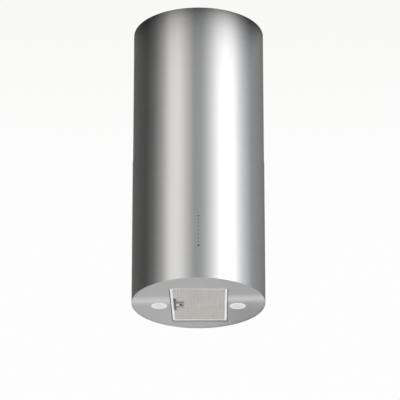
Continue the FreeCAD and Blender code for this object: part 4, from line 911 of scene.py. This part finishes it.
def latch_guide():
    """Channel behind the face that the tongue slides in."""
    left, right = latch_low.x, latch_high.x
    block_half, room_half = STEM_HALF - MM, 10.3 * MM
    base, roof = filter_low.z + FILTER_SHEET, filter_low.z + 6.0 * MM
    room = slider_high.z + 0.3 * MM
    profile = [(-block_half, base), (-room_half, base), (-room_half, room), (room_half, room),
               (room_half, base), (block_half, base), (block_half, roof), (-block_half, roof)]
    shape = bmesh.new()
    loft(shape, [[(x, latch_y + y, z) for y, z in profile] for x in (left, right)], caps=True)
    block(shape, (right - 1.5 * MM, latch_y - room_half, base), (right, latch_y + room_half, room))
    guide = softened(settle("latch_guide", shape), 0.2 * MM)
    return finished(guide, "filter", "latch_grey", crisp=30.0)


def latch_leaf():
    """Bent leaf spring between the tongue and its guide."""
    low, high = node_box("latch_spring")
    reach, thick, span = (high.y - low.y) / 2, 0.4 * MM, high.x - low.x
    outline = [(low.x, 0.0), (high.x - thick, -reach), (high.x, -reach), (low.x + 2 * thick, 0.0),
               (high.x, reach), (high.x - thick, reach)]
    shape = bmesh.new()
    loft(shape, [[(x, latch_y + y, z) for x, y in eased(outline, 0.12 * MM, 3)]
                 for z in (low.z, high.z)], caps=True)
    leaf = finished(settle("latch_leaf", shape), "latch", "spring_steel", "latch_spring", crisp=30.0)
    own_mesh(leaf)


def latch_bolt():
    """Tongue with a bevelled nose and a ribbed finger button."""
    button_left = latch_low.x + BUTTON_INSET
    low, high = slider_high.z - TONGUE_THICK, slider_high.z
    tail = button_left + BUTTON.x + MM
    nose = slider_low.x
    profile = [(nose, high), (nose, high - 0.6 * MM), (nose + 2.4 * MM, low), (tail, low), (tail, high)]
    half = (slider_high.y - slider_low.y) / 2
    shape = bmesh.new()
    loft(shape, [[(x, y, z) for x, z in profile] for y in (latch_y - half, latch_y + half)], caps=True)
    ribs = 4
    pitch = (BUTTON.x - 2.0 * MM) / ribs
    face = slider_low.z
    wave = [(button_left, low + 0.2 * MM), (button_left, face), (button_left + MM, face)]
    for rib in range(ribs):
        start = button_left + MM + rib * pitch
        wave += [(start + 0.2 * pitch, face + 0.5 * MM), (start + 0.55 * pitch, face + 0.5 * MM),
                 (start + 0.75 * pitch, face), (start + pitch, face)]
    wave += [(button_left + BUTTON.x, face), (button_left + BUTTON.x, low + 0.2 * MM)]
    grip = BUTTON.y / 2
    loft(shape, [[(x, y, z) for x, z in wave] for y in (latch_y - grip, latch_y + grip)], caps=True)
    bolt = softened(settle("latch_bolt", shape), 0.12 * MM)
    return finished(bolt, "latch", "latch_button", "latch_slider", crisp=30.0)


# ---------------------------------------------------------------- lamps

def lamp(side, name):
    """Trim ring with a soft lip and, inside it, a ribbed frosted lens."""
    centre = (side * lamp_x, lamp_y)
    low, glass_z = rings_low.z, node_box("lamp_glasses")[0].z
    glass_r = lamp_ring_r - LAMP_TRIM
    trim = bmesh.new()
    lip = [(glass_r + 0.15 * MM, plate_z), (glass_r + 0.15 * MM, low + 0.35 * MM),
           (glass_r + 0.9 * MM, low), (lamp_ring_r - 1.1 * MM, low + 0.15 * MM),
           (lamp_ring_r, low + 0.8 * MM), (lamp_ring_r, plate_z),
           (lamp_ring_r - 1.7 * MM, plate_z), (lamp_ring_r - 1.7 * MM, plate_z + 8 * MM),
           (lamp_ring_r - 2.5 * MM, plate_z + 8 * MM), (lamp_ring_r - 2.5 * MM, plate_z)]
    lathe(trim, eased(lip, 0.3 * MM, 3), centre)
    finished(settle(f"lamp_trim_{name}", trim), "hood", "lamp_white",
             *(("lamp_rings",) if side < 0 else ()))
    lens = bmesh.new()
    ribs, eye, back = 14, 0.05 * MM, plate_z + 1.0 * MM
    drop = plate_z - glass_z
    face = []
    for row in range(ribs * 4 + 1):
        share = row / (ribs * 4)
        ridge = 0.10 * MM * (0.5 + 0.5 * math.cos(2 * math.pi * ribs * share))
        face.append((glass_r * share + eye,
                     glass_z + drop * 0.55 * share ** 2 + ridge * (1 - share ** 4)))
    lathe(lens, face + [(glass_r, plate_z), (glass_r, back), (eye, back)], centre)
    finished(settle(f"lamp_lens_{name}", lens), "hood", "frosted_glass",
             *(("lamp_glasses",) if side < 0 else ()), crisp=50.0)


# ---------------------------------------------------------------- touch control

def front_mark(shape, centre_z, half_wide, half_tall, proud):
    """A domed mark on the front of the tube; its outline is round or a round-ended bar."""
    steps = 32
    reach = half_wide - half_tall
    rows = []
    for grow, rise in ((1.0, 0.0), (1.0, 0.55), (0.9, 0.85), (0.6, 1.0), (0.2, 1.0)):
        ring = []
        for step in range(steps):
            turn = 2 * math.pi * step / steps
            x = half_tall * grow * math.cos(turn) + math.copysign(reach, math.cos(turn)) * (reach > 0)
            z = half_tall * grow * math.sin(turn)
            ring.append((x, -cover_r - proud * rise, centre_z + z))
        rows.append(ring)
    back = [(x, -cover_r + 1.5 * MM, z) for x, _, z in rows[0]]
    loft(shape, [back] + rows, caps=True)


BEADS = 7


def touch_marks():
    """Power mark, row of beads and the short bar above them."""
    bead_low, bead_high = node_box("touch_beads")
    proud = cover_low.y - bead_low.y
    bead_r = bead_high.x
    pitch = (bead_high.z - bead_low.z - 2 * bead_r) / (BEADS - 1)
    beads = bmesh.new()
    for place in range(BEADS):
        front_mark(beads, bead_low.z + bead_r + place * pitch, bead_r, bead_r, proud)
    finished(settle("touch_bead_row", beads), "hood", "touch_grey", "touch_beads")
    for name, node in (("touch_power_mark", "power_pad"), ("touch_minus_mark", "minus_pad")):
        low, high = node_box(node)
        mark = bmesh.new()
        front_mark(mark, (low.z + high.z) / 2, high.x, (high.z - low.z) / 2, proud)
        finished(settle(name, mark), "hood", "touch_grey", node)


# ---------------------------------------------------------------- hanger screws

HANGER_HEAD = 1.2 * MM
HANGER_SHANK_R = 1.9 * MM
RECESS_LONG, RECESS_SHORT = 2.6 * MM, 0.45 * MM


def hanger_screws():
    """Shanks of the two screws; the cut of the cross recess takes their domed heads off with it."""
    low, high = node_box("cover_hanger_screws")
    z, head_r = (low.z + high.z) / 2, (high.z - low.z) / 2
    for side, name in ((-1, "left"), (1, "right")):
        seat = high.x - HANGER_HEAD
        shape = bmesh.new()
        profile = [(head_r, 0.0), (head_r, 0.35), (head_r * 0.93, 0.72),
                   (head_r * 0.7, 0.95), (head_r * 0.3, 1.0), (0.02 * MM, 1.0)]
        rings = [[(side * (seat + share * HANGER_HEAD), r * math.cos(math.radians(15 * step)),
                   z + r * math.sin(math.radians(15 * step))) for step in range(24)]
                 for r, share in profile]
        loft(shape, rings, caps=True)
        rod(shape, (side * (seat - 4 * MM), 0, z), (side * (seat + 0.2 * MM), 0, z), HANGER_SHANK_R)
        screw = settle(f"hanger_screw_{name}", shape)
        recess = bmesh.new()
        for wide, tall in ((RECESS_LONG, RECESS_SHORT), (RECESS_SHORT, RECESS_LONG)):
            ends = sorted((side * (seat + 0.5 * MM), side * (seat + 3 * MM)))
            block(recess, (ends[0], -wide, z - tall), (ends[1], wide, z + tall))
        cut_away(screw, recess)
        finished(screw, "ceiling_frame", "zinc_fastener",
                 *(("cover_hanger_screws",) if side < 0 else ()), crisp=30.0)


# ---------------------------------------------------------------- stage

VIEW_RISE = math.radians(24.01)
VIEW_DISTANCE = 9.6
VIEW_CENTRE = Vector((0.0043, 0.0, -0.5242))
VIEW_LENS = 300.6
FLOOR_Z = -2.6

# Light round the room: bearing from the front in degrees, level and warmth.
ROOM_LIGHT = (
    (-180, 0.16, 0.01), (-132, 0.11, 0.02), (-105, 0.075, 0.015), (-84, 0.16, 0.01),
    (-66, 0.42, 0.01), (-50, 0.90, 0.015), (-35, 0.96, 0.02), (-21, 0.65, 0.005),
    (-7, 0.35, -0.015), (7, 0.42, -0.015), (21, 0.80, -0.01), (36, 1.36, 0.0),
    (51, 1.66, 0.0), (67, 1.38, 0.0), (75, 1.0, -0.01), (84, 0.74, -0.03),
    (105, 0.36, -0.01), (133, 0.28, 0.0), (155, 0.22, 0.0), (180, 0.16, 0.01))
ROOM_PEAK = 1.7


def room():
    """Soft light from all round, strongest at the front right, on a plain pale ground."""
    world = bpy.data.worlds.new("room")
    bpy.context.scene.world = world
    world.use_nodes = True
    light = Nodes(world.node_tree)
    ray = light.add("TexCoord", output=0)
    x, y, z = light.axes(ray)
    sides = light.bearing(x, y, [
        (degrees, tuple(level / ROOM_PEAK * (1 + share) for share in (warm, 0, -warm)))
        for degrees, level, warm in ROOM_LIGHT])
    scaled = light.add("VectorMath", {"operation": "SCALE"}, {0: sides, "Scale": ROOM_PEAK})
    overhead = light.mix(z.ramp(0.62, 0.95), scaled, (ROOM_PEAK, ROOM_PEAK, ROOM_PEAK, 1.0))
    around = light.mix((-z).ramp(-0.05, 0.12), overhead, (0.55, 0.55, 0.55, 1.0))
    ground = light.mix(z.ramp(0.395, 0.46), (0.985, 0.985, 0.985, 1.0), (0.945, 0.943, 0.935, 1.0))
    seen = light.add("LightPath", output=0)
    colour = light.mix(seen, around, ground)
    background = world.node_tree.nodes["Background"]
    light.feed(background.inputs["Color"], colour)


def floor():
    """Pale floor, seen only from above."""
    shape = bmesh.new()
    bmesh.ops.create_grid(shape, x_segments=8, y_segments=8, size=14.0)
    ground = settle("floor", shape, outward=False)
    ground.location.z = FLOOR_Z
    pale = Finish("pale_floor")
    mottle = pale.noise(pale.spot, scale=1.4, detail=3.0)
    pale.set("Base Color", pale.tint(mottle, grey(0.90), grey(0.94)))
    pale.set("Roughness", mottle * 0.1 + 0.6)
    pale.seen_with(pale.add("NewGeometry", output=6), clear_first=False)
    ground.data.materials.append(pale.material)


# How much of the floor's light the tubes' mirror image loses, by bearing from the front in degrees.
FLOOR_SHADE = (
    (-180, 0.0), (-140, 0.05), (-112, 0.66), (-84, 0.55), (-52, 0.08), (-34, 0.04), (-7, 0.42),
    (8, 0.40), (36, 0.0), (62, 0.0), (86, 0.34), (112, 0.55), (140, 0.05), (180, 0.0))
CEILING_REACH = 0.75
CEILING_FADE = 0.13


def mirrored_shade(name, z, radii, amount):
    """A dim ring that only mirror images show; amount gives its depth from the ring's own finish."""
    shape = bmesh.new()
    loft(shape, [round_loop(0, 0, radius, z, RING_STEPS) for radius in radii])
    shade = settle(name, shape, outward=False)
    dim = Finish(f"dim_{name}", Base_Color=(0.0, 0.0, 0.0, 1.0), Specular_IOR_Level=0.0)
    away = (dim.x * dim.x + dim.y * dim.y) ** 0.5 - upper_r
    dim.seen_with(amount(dim, away), clear_first=True)
    shade.data.materials.append(dim.material)
    shade.visible_camera = False
    shade.visible_shadow = False
    shade.visible_diffuse = False


def ceiling_shade():
    """The dim ceiling round the tube, which the tube's top mirrors when seen from below."""
    def amount(dim, away):
        fade = (away * (-1 / CEILING_FADE)).math("EXPONENT")
        edge = away.ramp(0.5 * CEILING_REACH, CEILING_REACH, 1.0, 0.0)
        in_front = dim.y.ramp(-0.12, 0.04, 1.0, 0.14)
        to_right = dim.x.ramp(-0.35, 0.35, 0.66, 1.0)
        return fade * edge * to_right * in_front
    radii = (upper_r, upper_r + 0.06, upper_r + 0.2, upper_r + CEILING_REACH)
    mirrored_shade("ceiling_shade", MM, radii, amount)


def floor_shade():
    """Darker sides of the room's floor, which the tubes mirror when seen from above."""
    def amount(dim, away):
        depth = dim.bearing(dim.x, dim.y, [(degrees, (level, level, level))
                                           for degrees, level in FLOOR_SHADE])
        return depth * away.ramp(0.4, 1.0)
    mirrored_shade("floor_shade", FLOOR_Z + MM, (0.5, 1.0, 2.0, 5.0, 13.5), amount)


def camera():
    """Long lens from the front and well below."""
    lens = bpy.data.cameras.new("camera")
    lens.lens = VIEW_LENS
    lens.sensor_width = 36.0
    lens.clip_end = 60.0
    viewer = bpy.data.objects.new("camera", lens)
    viewer.location = VIEW_CENTRE + VIEW_DISTANCE * Vector(
        (0.0, -math.cos(VIEW_RISE), -math.sin(VIEW_RISE)))
    viewer.rotation_euler = (math.pi / 2 + VIEW_RISE, 0.0, 0.0)
    bpy.context.scene.collection.objects.link(viewer)
    bpy.context.scene.camera = viewer
    bpy.context.scene.view_settings.view_transform = "Standard"


# ---------------------------------------------------------------- build

finish_nodes()
upper_tube()
lower_tube()
underside_plate()
filter_rim()
filter_sheets()
filter_pad()
latch_plate()
latch_guide()
latch_leaf()
latch_bolt()
lamp(-1, "left")
lamp(1, "right")
touch_marks()
hanger_screws()
room()
floor()
ceiling_shade()
floor_shade()
camera()
